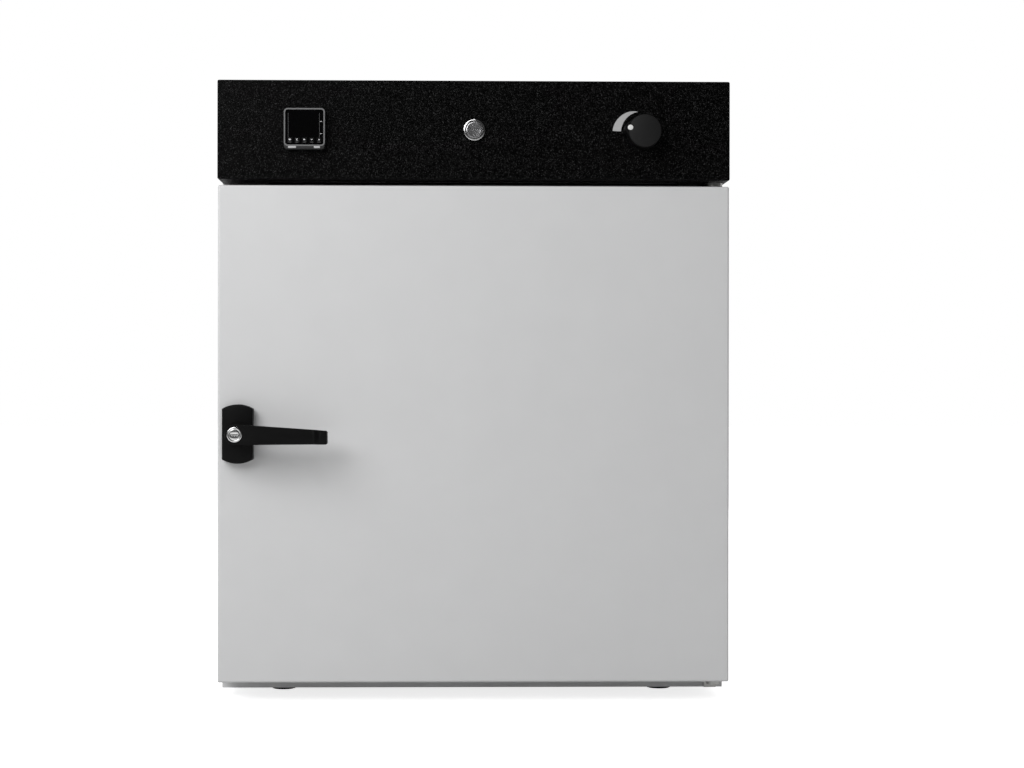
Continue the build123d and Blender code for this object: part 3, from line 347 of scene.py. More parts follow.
# Every finish: an effect with its scale, the two tones between which it varies, its range of
# roughness, the strength and the depth in mm of its bump, and its gloss; what many share stands first
coated = {"effect": "coatPeel", "scale": 800.0, "depth": 0.02}
moulded = {"effect": "mouldGrain", "scale": 2200.0, "depth": 0.01, "gloss": 0.3}
metal = {"effect": "grainLines", "depth": 0.02, "metal": 1.0}
finishes = {
    "doorCoat": {**coated, "low": (0.55, 0.552, 0.556), "high": (0.57, 0.572, 0.575),
        "rough": (0.4, 0.46), "bump": 0.1, "gloss": 0.42},
    "caseCoat": {**coated, "low": (0.56, 0.562, 0.566), "high": (0.585, 0.587, 0.59),
        "rough": (0.42, 0.5), "bump": 0.14, "gloss": 0.4},
    # the fascia coat's high tone is painted glint colour on its ridges; the low tone is the black coat
    "fasciaCoat": {"effect": "lumpyCoatPaintedGlints", "scale": 430.0, "low": (0.0002, 0.0002, 0.0002),
        "high": (0.045, 0.045, 0.0455), "rough": (0.28, 0.34), "bump": 0.9, "depth": 0.14, "gloss": 0.05},
    "handleCoat": {**moulded, "scale": 1300.0, "low": (0.0018, 0.0018, 0.0019),
        "high": (0.003, 0.003, 0.0031), "rough": (0.34, 0.42), "bump": 0.12, "depth": 0.03,
        "gloss": 0.12},
    "blackMoulding": {**moulded, "low": (0.006, 0.006, 0.0063), "high": (0.009, 0.009, 0.0093),
        "rough": (0.42, 0.52), "bump": 0.2, "depth": 0.02, "gloss": 0.4},
    "knobMoulding": {**moulded, "scale": 2400.0, "low": (0.0058, 0.0058, 0.006),
        "high": (0.007, 0.007, 0.0072), "rough": (0.55, 0.62), "bump": 0.15, "depth": 0.02,
        "gloss": 0.22},
    "knobSkirt": {**moulded, "scale": 2400.0, "low": (0.0015, 0.0015, 0.0016),
        "high": (0.0025, 0.0025, 0.0026), "rough": (0.45, 0.55), "bump": 0.15, "depth": 0.02,
        "gloss": 0.12},
    "bezelRim": {**moulded, "low": (0.11, 0.11, 0.112), "high": (0.14, 0.14, 0.142),
        "rough": (0.36, 0.44), "bump": 0.1, "gloss": 0.5},
    # the tabs' light tone is painted highlight on the bezel's lower lip
    "tabHighlightPaint": {**moulded, "low": (0.34, 0.34, 0.345), "high": (0.4, 0.4, 0.405),
        "rough": (0.35, 0.45), "bump": 0.1, "gloss": 0.5},
    "darkWindow": {**moulded, "scale": 300.0, "low": (0.0008, 0.0008, 0.0009),
        "high": (0.0012, 0.0012, 0.0013), "rough": (0.05, 0.09), "bump": 0.01},
    "keyPrint": {**moulded, "scale": 3000.0, "low": (0.5, 0.5, 0.51), "high": (0.58, 0.58, 0.59),
        "rough": (0.5, 0.6), "bump": 0.05},
    "dimPrint": {**moulded, "scale": 3000.0, "low": (0.075, 0.075, 0.076), "high": (0.1, 0.1, 0.101),
        "rough": (0.5, 0.6), "bump": 0.05},
    "panelPrint": {**moulded, "scale": 1500.0, "low": (0.36, 0.36, 0.362), "high": (0.42, 0.42, 0.422),
        "rough": (0.5, 0.6), "bump": 0.15, "depth": 0.02},
    "whiteMoulding": {**moulded, "scale": 1800.0, "low": (0.6, 0.6, 0.59), "high": (0.66, 0.66, 0.65),
        "rough": (0.35, 0.45), "bump": 0.08, "depth": 0.02, "gloss": 0.45},
    "polishedChrome": {**metal, "scale": 900.0, "low": (0.7, 0.7, 0.7), "high": (0.8, 0.8, 0.8),
        "rough": (0.1, 0.2), "bump": 0.05, "depth": 0.01},
    "spunSteel": {**metal, "effect": "turnedRings", "scale": 3200.0, "low": (0.5, 0.5, 0.51),
        "high": (0.68, 0.68, 0.69), "rough": (0.2, 0.26), "bump": 0.8, "depth": 0.14,
        "centre": (switchX, 0, switchZ)},
    "brushedSteel": {**metal, "scale": 900.0, "low": (0.44, 0.44, 0.45), "high": (0.6, 0.6, 0.61),
        "rough": (0.25, 0.36), "bump": 0.2, "depth": 0.03, "stretch": (1, 1, 0.06)},
    "chamberSteel": {**metal, "scale": 700.0, "low": (0.5, 0.5, 0.51), "high": (0.62, 0.62, 0.63),
        "rough": (0.26, 0.4), "bump": 0.18, "depth": 0.03, "stretch": (0.05, 0.05, 1)},
    "bareStainless": {**metal, "scale": 600.0, "low": (0.55, 0.55, 0.56), "high": (0.66, 0.66, 0.67),
        "rough": (0.2, 0.32), "bump": 0.08, "stretch": (0.2, 1, 1)},
    "zincSheet": {**metal, "effect": "zincSpangle", "scale": 130.0, "low": (0.4, 0.41, 0.42),
        "high": (0.62, 0.63, 0.64), "rough": (0.35, 0.5), "bump": 0.2, "depth": 0.03},
    "zincPlated": {**metal, "scale": 500.0, "low": (0.46, 0.46, 0.45), "high": (0.6, 0.6, 0.58),
        "rough": (0.3, 0.42), "bump": 0.15},
    "aluminium": {**metal, "scale": 500.0, "low": (0.62, 0.63, 0.64), "high": (0.74, 0.75, 0.76),
        "rough": (0.3, 0.42), "bump": 0.15, "depth": 0.03, "stretch": (1, 0.2, 1)},
    "brass": {**metal, "scale": 700.0, "low": (0.52, 0.36, 0.13), "high": (0.7, 0.5, 0.2),
        "rough": (0.22, 0.34), "bump": 0.1},
    "motorPaint": {**coated, "scale": 500.0, "low": (0.06, 0.065, 0.07), "high": (0.08, 0.085, 0.09),
        "rough": (0.35, 0.5), "bump": 0.25, "depth": 0.04, "gloss": 0.5},
    "mineralWool": {"effect": "woolFibres", "scale": 60.0, "low": (0.22, 0.16, 0.07),
        "high": (0.62, 0.52, 0.3), "rough": (0.9, 1.0), "bump": 1.0, "depth": 1.5, "gloss": 0.05},
    "footRubber": {**moulded, "scale": 900.0, "low": (0.01, 0.01, 0.01), "high": (0.02, 0.02, 0.02),
        "rough": (0.65, 0.8), "bump": 0.3, "depth": 0.04, "gloss": 0.25},
    "sealSilicone": {**moulded, "scale": 700.0, "low": (0.4, 0.41, 0.42), "high": (0.48, 0.49, 0.5),
        "rough": (0.45, 0.6), "bump": 0.15, "depth": 0.03, "gloss": 0.4},
    "keyRubber": {**moulded, "scale": 1500.0, "low": (0.0012, 0.0012, 0.0013),
        "high": (0.002, 0.002, 0.0021), "rough": (0.2, 0.3), "bump": 0.05},
}


def makeFinish(name, look):
    material = bpy.data.materials.new(name)
    material.use_nodes = True
    tree = material.node_tree
    shader = tree.nodes["Principled BSDF"]
    shader.inputs["Metallic"].default_value = look.get("metal", 0.0)
    shader.inputs["Specular IOR Level"].default_value = look.get("gloss", 0.5)
    where = tree.nodes.new("ShaderNodeTexCoord")
    mapping = tree.nodes.new("ShaderNodeMapping")
    centre = look.get("centre", (0, 0, 0))
    mapping.inputs["Location"].default_value = [-value for value in centre]
    mapping.inputs["Scale"].default_value = look.get("stretch", (1, 1, 1))
    tree.links.new(where.outputs["Object"], mapping.inputs["Vector"])
    effect = tree.nodes.new("ShaderNodeGroup")
    effect.node_tree = effects[look["effect"]]
    effect.inputs["Scale"].default_value = look["scale"]
    tree.links.new(mapping.outputs[0], effect.inputs["Vector"])
    blend = tree.nodes.new("ShaderNodeMix")
    blend.data_type = "RGBA"
    for socket in blend.inputs:
        if socket.name in "AB" and socket.type == "RGBA":
            socket.default_value = (*look["low" if socket.name == "A" else "high"], 1)
    tree.links.new(effect.outputs["Tone"], blend.inputs["Factor"])
    colour = next(socket for socket in blend.outputs if socket.type == "RGBA")
    tree.links.new(colour, shader.inputs["Base Color"])
    touched = tree.nodes.new("ShaderNodeGroup")
    touched.node_tree = handling
    tree.links.new(where.outputs["Object"], touched.inputs["Vector"])
    rough = rangeNode(tree, touched.outputs["Mask"], 0.0, 1.0, *look["rough"])
    tree.links.new(rough, shader.inputs["Roughness"])
    bump = tree.nodes.new("ShaderNodeBump")
    bump.inputs["Strength"].default_value = look["bump"]
    bump.inputs["Distance"].default_value = look["depth"] * mm
    tree.links.new(effect.outputs["Height"], bump.inputs["Height"])
    tree.links.new(bump.outputs["Normal"], shader.inputs["Normal"])
    return material


paint = {name: makeFinish(name, look) for name, look in finishes.items()}
print("finishes ready:", len(paint))

# The finish of each construction node that is shown as it is
slotFinish = {
    "light_coat": "caseCoat", "door_coat": "doorCoat", "black_coat": "fasciaCoat",
    "stainless": "chamberSteel", "brushed_steel": "brushedSteel", "zinc_sheet": "zincSheet",
    "zinc_steel": "zincPlated", "chrome": "polishedChrome", "aluminium": "aluminium", "brass": "brass",
    "motor_paint": "motorPaint", "mineral_wool": "mineralWool", "black_rubber": "footRubber",
    "silicone": "sealSilicone", "key_rubber": "keyRubber", "black_plastic": "blackMoulding",
    "black_gloss": "darkWindow", "white_plastic": "whiteMoulding",
}
slotOf = {row["node"]: row["material_slot"] for row in frame["record"]["subparts"]}


def dressNodes():
    for name, node in frame["nodes"].items():
        node.data.materials.clear()
        node.data.materials.append(paint[slotFinish[slotOf[name]]])


dressNodes()
print("construction nodes painted")


# Makers for rounded shapes
def showPiece(name, shape, body, finish, replaced=(), crease=38):
    mesh = bpy.data.meshes.new(name)
    if isinstance(shape, bmesh.types.BMesh):
        bmesh.ops.recalc_face_normals(shape, faces=shape.faces)
        shape.to_mesh(mesh)
        shape.free()
    else:
        mesh = shape
        mesh.name = name
    mesh.polygons.foreach_set("use_smooth", [True] * len(mesh.polygons))
    mesh.set_sharp_from_angle(angle=radians(crease))
    piece = addObject(name, mesh)
    mesh.materials.clear()
    mesh.materials.append(paint[finish])
    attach(piece, body)
    if replaced:
        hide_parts(*replaced)


def eased(points, reaches, steps=4):
    # rounds the corners of a closed flat path, each by its own reach
    path = []
    for n, point in enumerate(points):
        corner, reach = Vector(point), reaches[n]
        if reach <= 0:
            path.append(tuple(corner))
            continue
        before = Vector(points[n - 1]) - corner
        after = Vector(points[(n + 1) % len(points)]) - corner
        reach = min(reach, before.length * 0.49, after.length * 0.49)
        start, end = corner + before.normalized() * reach, corner + after.normalized() * reach
        for k in range(steps + 1):
            t = k / steps
            path.append(tuple(start * (1 - t) ** 2 + corner * 2 * t * (1 - t) + end * t ** 2))
    return path


def arcPoints(centre, radius, first, last, steps):
    angles = [radians(first + (last - first) * n / steps) for n in range(steps + 1)]
    return [(centre[0] + radius * cos(angle), centre[1] + radius * sin(angle)) for angle in angles]


def roundedBox(width, tall, corner, steps=6):
    across, upward = width / 2 - corner, tall / 2 - corner
    path = []
    corners = ((across, upward), (-across, upward), (-across, -upward), (across, -upward))
    for quarter, place in enumerate(corners):
        path += arcPoints(place, corner, quarter * 90, quarter * 90 + 90, steps)
    return path


def joinRings(shape, first, second, count):
    # a band of faces between two rings of points; a ring of one point is a pole
    for n in range(count):
        m = (n + 1) % count
        corners = [first[n % len(first)], first[m % len(first)],
                   second[m % len(second)], second[n % len(second)]]
        shape.faces.new(list(dict.fromkeys(corners)))


def turned(profile, centre, axis="Y", steps=96, closed=False, shape=None):
    # spins a profile of (radius, place along the axis) into a skin; radius 0 makes a pole
    shape = shape or bmesh.new()
    rings = []
    for radius, along in profile:
        ring = []
        for n in range(1 if radius == 0 else steps):
            across, upward = radius * cos(2 * pi * n / steps), radius * sin(2 * pi * n / steps)
            spot = (centre[0] + across, along, centre[1] + upward)
            if axis == "Z":
                spot = (centre[0] + across, centre[1] + upward, along)
            ring.append(shape.verts.new(spot))
        rings.append(ring)
    pairs = list(zip(rings, rings[1:])) + ([(rings[-1], rings[0])] if closed else [])
    for first, second in pairs:
        joinRings(shape, first, second, steps)
    return shape


def softRim(radius, face, edge):
    # the three points of a profile that round a front edge
    return [(radius - edge, face), (radius - edge * 0.3, face + edge * 0.3), (radius, face + edge)]


def rounded(shape, edges, reach, steps):
    bmesh.ops.bevel(shape, geom=edges, offset=reach, segments=steps, profile=0.5, affect="EDGES",
                    clamp_overlap=True)


def board(outline, front, back, edge=0.0, centre=(0.0, 0.0), steps=3, shape=None):
    # a flat outline seen from the front, thickened from front to back, with its front edge rounded
    own = bmesh.new()
    faces = []
    for depth in (front, back):
        ring = [own.verts.new((centre[0] + x, depth, centre[1] + z)) for x, z in outline]
        faces.append(own.faces.new(ring))
    joinRings(own, list(faces[0].verts), list(faces[1].verts), len(outline))
    bmesh.ops.recalc_face_normals(own, faces=own.faces)
    if edge > 0:
        rounded(own, list(faces[0].edges), edge, steps)
    if shape is None:
        return own
    spare = bpy.data.meshes.new("spare")
    own.to_mesh(spare)
    own.free()
    shape.from_mesh(spare)
    bpy.data.meshes.remove(spare)
    return shape


def tiles(size, corner, depths, places):
    # equal small flat blocks in one shape
    shape = bmesh.new()
    outline = roundedBox(size[0] * mm, size[1] * mm, corner * mm, 2)
    for place in places:
        board(outline, *depths, 0, place, shape=shape)
    return shape


def ringSweep(width, tall, corner, section, centre, steps=8):
    # sweeps a closed section of (offset, depth) round a rectangle with rounded corners
    shape = bmesh.new()
    rings = []
    for offset, depth in section:
        outline = roundedBox(width + 2 * offset, tall + 2 * offset, corner + offset, steps)
        rings.append([shape.verts.new((centre[0] + x, depth, centre[1] + z)) for x, z in outline])
    for first, second in zip(rings, rings[1:] + rings[:1]):
        joinRings(shape, first, second, len(first))
    return shape


def softened(node, edge, steps=2, angle=35):
    # a copy of a construction node, its sharp edges rounded as folding or moulding leaves them
    shape = bmesh.new()
    shape.from_mesh(frame["nodes"][node].data)
    bmesh.ops.remove_doubles(shape, verts=shape.verts, dist=1e-6)
    bmesh.ops.dissolve_limit(shape, angle_limit=radians(0.5), verts=shape.verts, edges=shape.edges)
    sharp = [e for e in shape.edges if len(e.link_faces) == 2 and e.calc_face_angle(0) > radians(angle)]
    rounded(shape, sharp, edge, steps)
    bmesh.ops.triangulate(shape, faces=[f for f in shape.faces if len(f.verts) > 4])
    return shape


# Lever handle with its escutcheon and lock
latch = {"plateEdge": 1.4, "plateCorner": 3.0, "bossRadius": 15.0, "bossHeight": 0.5, "bossEdge": 0.4,
         "bossRoot": 1.0, "sleeveRadius": 8.5, "leverEdge": 1.6, "ringEdge": 0.7, "boreEdge": 0.25,
         "plugPlay": 0.05, "plugEdge": 0.22, "arcSteps": 20}


def makeEscutcheon():
    low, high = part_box("escutcheon")
    half, middle = (high.x - low.x) / 2, (low.z + high.z) / 2
    disc = (high.z - low.z) / 2
    top = acos(half / disc) * 180 / pi
    steps = latch["arcSteps"]
    outline = []
    for first, last in ((top, 180 - top), (180 + top, 360 - top)):
        outline += arcPoints((0, 0), disc, first, last, steps)
    corners = [0 if 0 < n % (steps + 1) < steps else latch["plateCorner"] * mm for n in range(len(outline))]
    plate = board(eased(outline, corners), low.y, doorFront, latch["plateEdge"] * mm, (latchX, middle), 4)
    radius, edge = latch["bossRadius"] * mm, latch["bossEdge"] * mm
    proud, root = low.y - latch["bossHeight"] * mm, low.y + latch["bossRoot"] * mm
    collar = [(0, root), (radius, root), (radius, proud + edge), (radius - edge, proud), (0, proud)]
    turned(collar, (latchX, latchZ), shape=plate)
    radius = latch["sleeveRadius"] * mm
    sleeve = [(0, doorFront), (radius, doorFront), (radius, high.y), (0, high.y)]
    turned(sleeve, (latchX, latchZ), shape=plate)
    showPiece("escutcheonShell", plate, "door", "handleCoat", ("escutcheon",))


def makeLever():
    blade = softened("lever", latch["leverEdge"] * mm, 4, 30)
    showPiece("leverHandle", blade, "lever", "handleCoat", ("lever",), 50)


def makeLock():
    low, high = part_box("lock_barrel")
    radius, edge = (high.x - low.x) / 2, latch["ringEdge"] * mm
    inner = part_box("lock_plug")
    bore, lip = (inner[1].x - inner[0].x) / 2 + latch["plugPlay"] * mm, latch["boreEdge"] * mm
    rim = [(bore, low.y + edge * 0.4), (bore + lip, low.y + lip * 0.4), (bore + 2 * lip, low.y)]
    rim += softRim(radius, low.y, edge) + [(radius, high.y), (bore, high.y)]
    showPiece("lockRim", turned(rim, (latchX, latchZ), closed=True), "lever", "polishedChrome",
              ("lock_barrel",), 30)
    plug = softened("lock_plug", latch["plugEdge"] * mm, 2)
    showPiece("lockCore", plug, "lock_plug", "polishedChrome", ("lock_plug",))


makeEscutcheon()
makeLever()
makeLock()
print("latch made")

# Temperature controller
controller = {"rimWidth": 1.7, "rimHeight": 0.7, "rimEdge": 0.3, "rimRoot": 1.2, "rimInset": 0.1,
              "corner": 4.5, "lip": 3.6, "bodyEdge": 0.5, "tabHeight": 2.4, "tabCorner": 0.5,
              "tabs": ((-14.3, 9.4), (14.6, 7.2)), "printHeight": 0.05, "printRoot": 0.2,
              "lineSize": (0.28, 30.0), "lineCorner": 0.1, "lineDrop": 18.5, "lineSides": (-18.9, 17.4),
              "markSize": (0.75, 0.7), "markCorner": 0.25, "markSide": 18.6, "markRows": (27.8, 13.8),
              "markStep": 0.5, "glyph": 2.4, "glyphTall": 0.9, "glyphRise": 0.7, "keyRoot": 0.1,
              "dashSize": (0.8, 0.7), "dashCorner": 0.15, "dashStep": 1.05, "dashDrop": 2.3}


def makeController():
    low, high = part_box("controller_bezel")
    across = middleOf("controller_bezel").x
    body = softened("controller_bezel", controller["bodyEdge"] * mm)
    showPiece("controllerBody", body, "case", "blackMoulding", ("controller_bezel",))
    inset, edge = controller["rimInset"] * mm, controller["rimEdge"] * mm
    width = high.x - low.x - 2 * inset
    tall = width - controller["lip"] * mm
    middle = high.z - inset - tall / 2
    wide, proud = controller["rimWidth"] * mm, controller["rimHeight"] * mm
    root, top = low.y + controller["rimRoot"] * mm, low.y - proud
    section = [(0, root), (0, top + edge), (-edge, top), (edge - wide, top), (-wide, top + edge),
               (-wide, root)]
    rim = ringSweep(width, tall, controller["corner"] * mm, section, (across, middle))
    showPiece("controllerRim", rim, "case", "bezelRim")
    # two light tabs on the bezel's lower lip; their light tone is painted highlight on that lip
    tabs = bmesh.new()
    height, corner = controller["tabHeight"] * mm, controller["tabCorner"] * mm
    for shift, size in controller["tabs"]:
        place = (across + shift * mm, middle - tall / 2 - height / 2)
        outline = roundedBox(size * mm, height, corner, 3)
        board(outline, low.y - proud * 0.7, low.y + corner, edge, place, 2, tabs)
    showPiece("controllerHighlightTabs", tabs, "case", "tabHighlightPaint")
    near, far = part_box("controller_window")
    depths = (near.y - controller["printHeight"] * mm, near.y + controller["printRoot"] * mm)
    level = far.z - controller["lineDrop"] * mm
    places = [(across + shift * mm, level) for shift in controller["lineSides"]]
    lines = tiles(controller["lineSize"], controller["lineCorner"], depths, places)
    showPiece("windowLines", lines, "case", "dimPrint")
    places = []
    for height in controller["markRows"]:
        for part in range(3):
            side = controller["markSide"] + controller["markSize"][0] * part
            rise = height + controller["markStep"] * (part % 2)
            places.append((across + side * mm, near.z + rise * mm))
    marks = tiles(controller["markSize"], controller["markCorner"], depths, places)
    showPiece("windowMarks", marks, "case", "keyPrint")


def glyphOutlines():
    # five plain marks: page, loop, step, down and up, one unit wide
    page = [(-0.5, -0.4), (0.5, -0.4), (0.5, 0.15), (0.2, 0.4), (-0.5, 0.4)]
    loop = arcPoints((0, 0), 0.5, 40, 330, 14) + arcPoints((0, 0), 0.26, 330, 40, 14)
    step = [(-0.5, -0.3), (0.0, -0.3), (0.0, -0.45), (0.5, 0.0), (0.0, 0.45), (0.0, 0.3), (-0.5, 0.3)]
    down = [(-0.5, 0.3), (0.0, -0.4), (0.5, 0.3)]
    up = [(-0.5, -0.3), (0.5, -0.3), (0.0, 0.4)]
    return [page, loop, step, down, up]


def makeKeyPrint():
    size, step = controller["glyph"] * mm, controller["dashStep"] * mm
    for number, outline in enumerate(glyphOutlines(), 1):
        node = "key_%d" % number
        middle, face = middleOf(node), frontOf(node)
        depths = (face - controller["printHeight"] * mm, face + controller["keyRoot"] * mm)
        own = [(x * size, z * size * controller["glyphTall"]) for x, z in outline]
        glyph = board(own, *depths, centre=(middle.x, middle.z + controller["glyphRise"] * mm))
        showPiece("keyGlyph%d" % number, glyph, node, "keyPrint")
        level = middle.z - controller["dashDrop"] * mm
        places = [(middle.x + part * step, level) for part in (-1, 0, 1)]
        dashes = tiles(controller["dashSize"], controller["dashCorner"], depths, places)
        showPiece("keyMark%d" % number, dashes, node, "dimPrint")


makeController()
makeKeyPrint()
print("controller made")

# Round push switch of spun metal
pushSwitch = {"edge": 0.8, "dish": 0.25, "ringGap": 0.08, "lipWidth": 0.35, "lipDepth": 0.5,
              "barrelInset": 1.5, "capEdge": 0.5, "terminal": (0.8, 4.8), "terminalCorner": 0.2,
              "terminalDepth": 8.0, "terminalSide": 5.0}


def makeSwitch():
    low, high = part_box("switch_body")
    near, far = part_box("switch_cap")
    radius, rim = (high.x - low.x) / 2, (far.x - near.x) / 2
    bore, barrel = rim + pushSwitch["ringGap"] * mm, radius - pushSwitch["barrelInset"] * mm
    back = high.y - pushSwitch["terminalDepth"] * mm
    ring = [(bore, far.y), (bore, low.y + pushSwitch["lipDepth"] * mm),
            (bore + pushSwitch["lipWidth"] * mm, low.y)]
    ring += softRim(radius, low.y, pushSwitch["edge"] * mm)
    ring += [(radius, fasciaFront), (barrel, fasciaFront), (barrel, back), (bore, back)]
    showPiece("switchRing", turned(ring, (switchX, switchZ), closed=True), "case", "polishedChrome",
              ("switch_body",), 25)
    dish, edge = pushSwitch["dish"] * mm, pushSwitch["capEdge"] * mm
    face = [(0, near.y + dish), (rim * 0.3, near.y + dish * 0.9), (rim * 0.6, near.y + dish * 0.6),
            (rim * 0.85, near.y + dish * 0.2), (rim - edge, near.y),
            (rim - edge * 0.3, near.y + edge * 0.2), (rim, near.y + edge), (rim, far.y), (0, far.y)]
    showPiece("switchButton", turned(face, (switchX, switchZ)), "switch_cap", "spunSteel",
              ("switch_cap",), 40)
    side = pushSwitch["terminalSide"] * mm
    places = [(switchX - side, switchZ), (switchX + side, switchZ)]
    terminals = tiles(pushSwitch["terminal"], pushSwitch["terminalCorner"], (back, high.y), places)
    showPiece("switchTerminals", terminals, "case", "brass")


makeSwitch()

# Damper knob, its white dot and the printed opening wedge
knob = {"capEdge": 0.7, "capSteps": 128, "bodyEdge": 1.1, "dotEdge": 0.4, "dotSteps": 48,
        "wedgeInner": 24.7, "wedgeGrow": 9.8, "wedgeEnd": 0.05, "wedgeFirst": 101.0, "wedgeLast": 177.0,
        "wedgeCurve": 1.5, "wedgeSteps": 40, "wedgeHeight": 0.06, "wedgeRoot": 0.2,
        "wedgeShift": (-1.4, 0.5)}


def makeKnob():
    near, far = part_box("knob_cap")
    rim = (far.x - near.x) / 2
    face = [(0, near.y)] + softRim(rim, near.y, knob["capEdge"] * mm) + [(rim, far.y), (0, far.y)]
    showPiece("knobFace", turned(face, (knobX, knobZ), steps=knob["capSteps"]), "damper", "knobMoulding",
              ("knob_cap",), 40)
    body = softened("knob_body", knob["bodyEdge"] * mm, 3)
    showPiece("knobBody", body, "damper", "knobSkirt", ("knob_body",))
    near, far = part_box("knob_dot")
    centre, radius, edge = middleOf("knob_dot"), (far.x - near.x) / 2, knob["dotEdge"] * mm
    dome = [(0, near.y), (radius * 0.6, near.y + edge * 0.075), (radius * 0.9, near.y + edge * 0.375),
            (radius, near.y + edge), (radius, far.y), (0, far.y)]
    showPiece("knobDot", turned(dome, (centre.x, centre.z), steps=knob["dotSteps"]), "damper",
              "whiteMoulding", ("knob_dot",))


def makeWedge():
    inner, grow = knob["wedgeInner"] * mm, knob["wedgeGrow"] * mm
    first, last, steps = knob["wedgeFirst"], knob["wedgeLast"], knob["wedgeSteps"]
    outline = []
    for n in range(steps + 1):
        turn = radians(last + (first - last) * n / steps)
        radius = inner + grow * (1 - (n / steps) ** knob["wedgeCurve"]) + knob["wedgeEnd"] * mm
        outline.append((radius * cos(turn), radius * sin(turn)))
    outline += arcPoints((0, 0), inner, first, last, steps)
    across, upward = knob["wedgeShift"]
    front, back = fasciaFront - knob["wedgeHeight"] * mm, fasciaFront + knob["wedgeRoot"] * mm
    wedge = board(outline, front, back, centre=(knobX + across * mm, knobZ + upward * mm))
    showPiece("openingWedge", wedge, "case", "panelPrint")


makeKnob()
makeWedge()
print("switch and knob made")


# Geometry Nodes trees for what repeats; each result is baked to a plain mesh
def repeatTree(name, sizes):
    tree = bpy.data.node_groups.new(name, "GeometryNodeTree")
    addSocket(tree, "Places", "INPUT", "Geometry")
    for label, value in sizes.items():
        addSocket(tree, label, "INPUT", "Float", value)
    addSocket(tree, "Facing", "INPUT", "Vector")
    addSocket(tree, "Finish", "INPUT", "Material")
    addSocket(tree, "Geometry", "OUTPUT", "Geometry")
    return tree, tree.nodes.new("NodeGroupInput"), tree.nodes.new("NodeGroupOutput")


def geoNode(tree, kind, inputs):
    node = tree.nodes.new("GeometryNode" + kind)
    for label, value in inputs.items():
        if isinstance(value, bpy.types.NodeSocket):
            tree.links.new(value, node.inputs[label])
        else:
            node.inputs[label].default_value = value
    return node.outputs[0]


def lifted(tree, shape, height):
    lift = tree.nodes.new("ShaderNodeCombineXYZ")
    tree.links.new(height, lift.inputs[2])
    return geoNode(tree, "Transform", {"Geometry": shape, "Translation": lift.outputs[0]})


def closeTree(tree, given, result, parts):
    joined = tree.nodes.new("GeometryNodeJoinGeometry")
    for part in parts:
        tree.links.new(part, joined.inputs[0])
    turn = given.outputs["Facing"]
    facing = geoNode(tree, "Transform", {"Geometry": joined.outputs[0], "Rotation": turn})
    spread = geoNode(tree, "InstanceOnPoints", {"Points": given.outputs["Places"], "Instance": facing})
    real = geoNode(tree, "RealizeInstances", {"Geometry": spread})
    tinted = geoNode(tree, "SetMaterial", {"Geometry": real, "Material": given.outputs["Finish"]})
    tree.links.new(tinted, result.inputs[0])
    return tree


screwShape = {"sides": 6, "chamfer": 0.25, "crown": 0.82, "washer": 1.3, "washerSides": 24}


def screwTree():
    # hexagon head with a chamfered top on a thin round washer
    sizes = {"Radius": 4 * mm, "Height": 2.4 * mm, "Washer": 0.5 * mm}
    tree, given, result = repeatTree("hexScrews", sizes)
    radius, height, washer = (given.outputs[label] for label in ("Radius", "Height", "Washer"))
    top = mathNode(tree, "MULTIPLY", height, screwShape["chamfer"])
    side = mathNode(tree, "SUBTRACT", height, top)
    head = geoNode(tree, "MeshCylinder", {"Vertices": screwShape["sides"], "Radius": radius, "Depth": side})
    head = lifted(tree, head, mathNode(tree, "MULTIPLY", side, 0.5))
    crown = mathNode(tree, "MULTIPLY", radius, screwShape["crown"])
    cone = geoNode(tree, "MeshCone", {"Vertices": screwShape["sides"], "Radius Bottom": radius,
                                      "Radius Top": crown, "Depth": top})
    wide = mathNode(tree, "MULTIPLY", radius, screwShape["washer"])
    ring = geoNode(tree, "MeshCylinder", {"Vertices": screwShape["washerSides"], "Radius": wide,
                                          "Depth": washer})
    ring = lifted(tree, ring, mathNode(tree, "MULTIPLY", washer, 0.5))
    return closeTree(tree, given, result, (head, lifted(tree, cone, side), ring))


def domeTree():
    # low domes: rivet heads and pressed louvre hoods, by their three half sizes
    tree, given, result = repeatTree("pressedDomes", {"Across": 3 * mm, "Up": 3 * mm, "Proud": 1 * mm})
    ball = geoNode(tree, "MeshUVSphere", {"Segments": 20, "Rings": 10, "Radius": 1.0})
    size = tree.nodes.new("ShaderNodeCombineXYZ")
    for label, slotNumber in (("Across", 0), ("Up", 1), ("Proud", 2)):
        tree.links.new(given.outputs[label], size.inputs[slotNumber])
    shape = geoNode(tree, "Transform", {"Geometry": ball, "Scale": size.outputs[0]})
    return closeTree(tree, given, result, (shape,))


def barTree():
    # straight round wires, centred on their places
    tree, given, result = repeatTree("wires", {"Radius": 1.4 * mm, "Length": 300 * mm})
    bar = geoNode(tree, "MeshCylinder", {"Vertices": 14, "Radius": given.outputs["Radius"],
                                         "Depth": given.outputs["Length"]})
    return closeTree(tree, given, result, (bar,))


def bake(name, tree, places, sizes, facing, finish, body, replaced=(), crease=38):
    holder = bpy.data.meshes.new(name + "Places")
    holder.from_pydata([tuple(place) for place in places], [], [])
    spare = addObject(name + "Places", holder)
    modifier = spare.modifiers.new("repeat", "NODES")
    modifier.node_group = tree
    sockets = {item.name: item.identifier for item in tree.interface.items_tree
               if item.item_type == "SOCKET" and item.in_out == "INPUT"}
    for label, value in sizes.items():
        modifier[sockets[label]] = value * mm
    modifier[sockets["Facing"]] = [radians(angle) for angle in facing]
    modifier[sockets["Finish"]] = paint[finish]
    graph = bpy.context.evaluated_depsgraph_get()
    mesh = bpy.data.meshes.new_from_object(spare.evaluated_get(graph), depsgraph=graph)
    bpy.data.objects.remove(spare)
    showPiece(name, mesh, body, finish, replaced, crease)


screws, domes, wires = screwTree(), domeTree(), barTree()
toBack, upright, sideways = (-90, 0, 0), (0, 0, 0), (0, 90, 0)

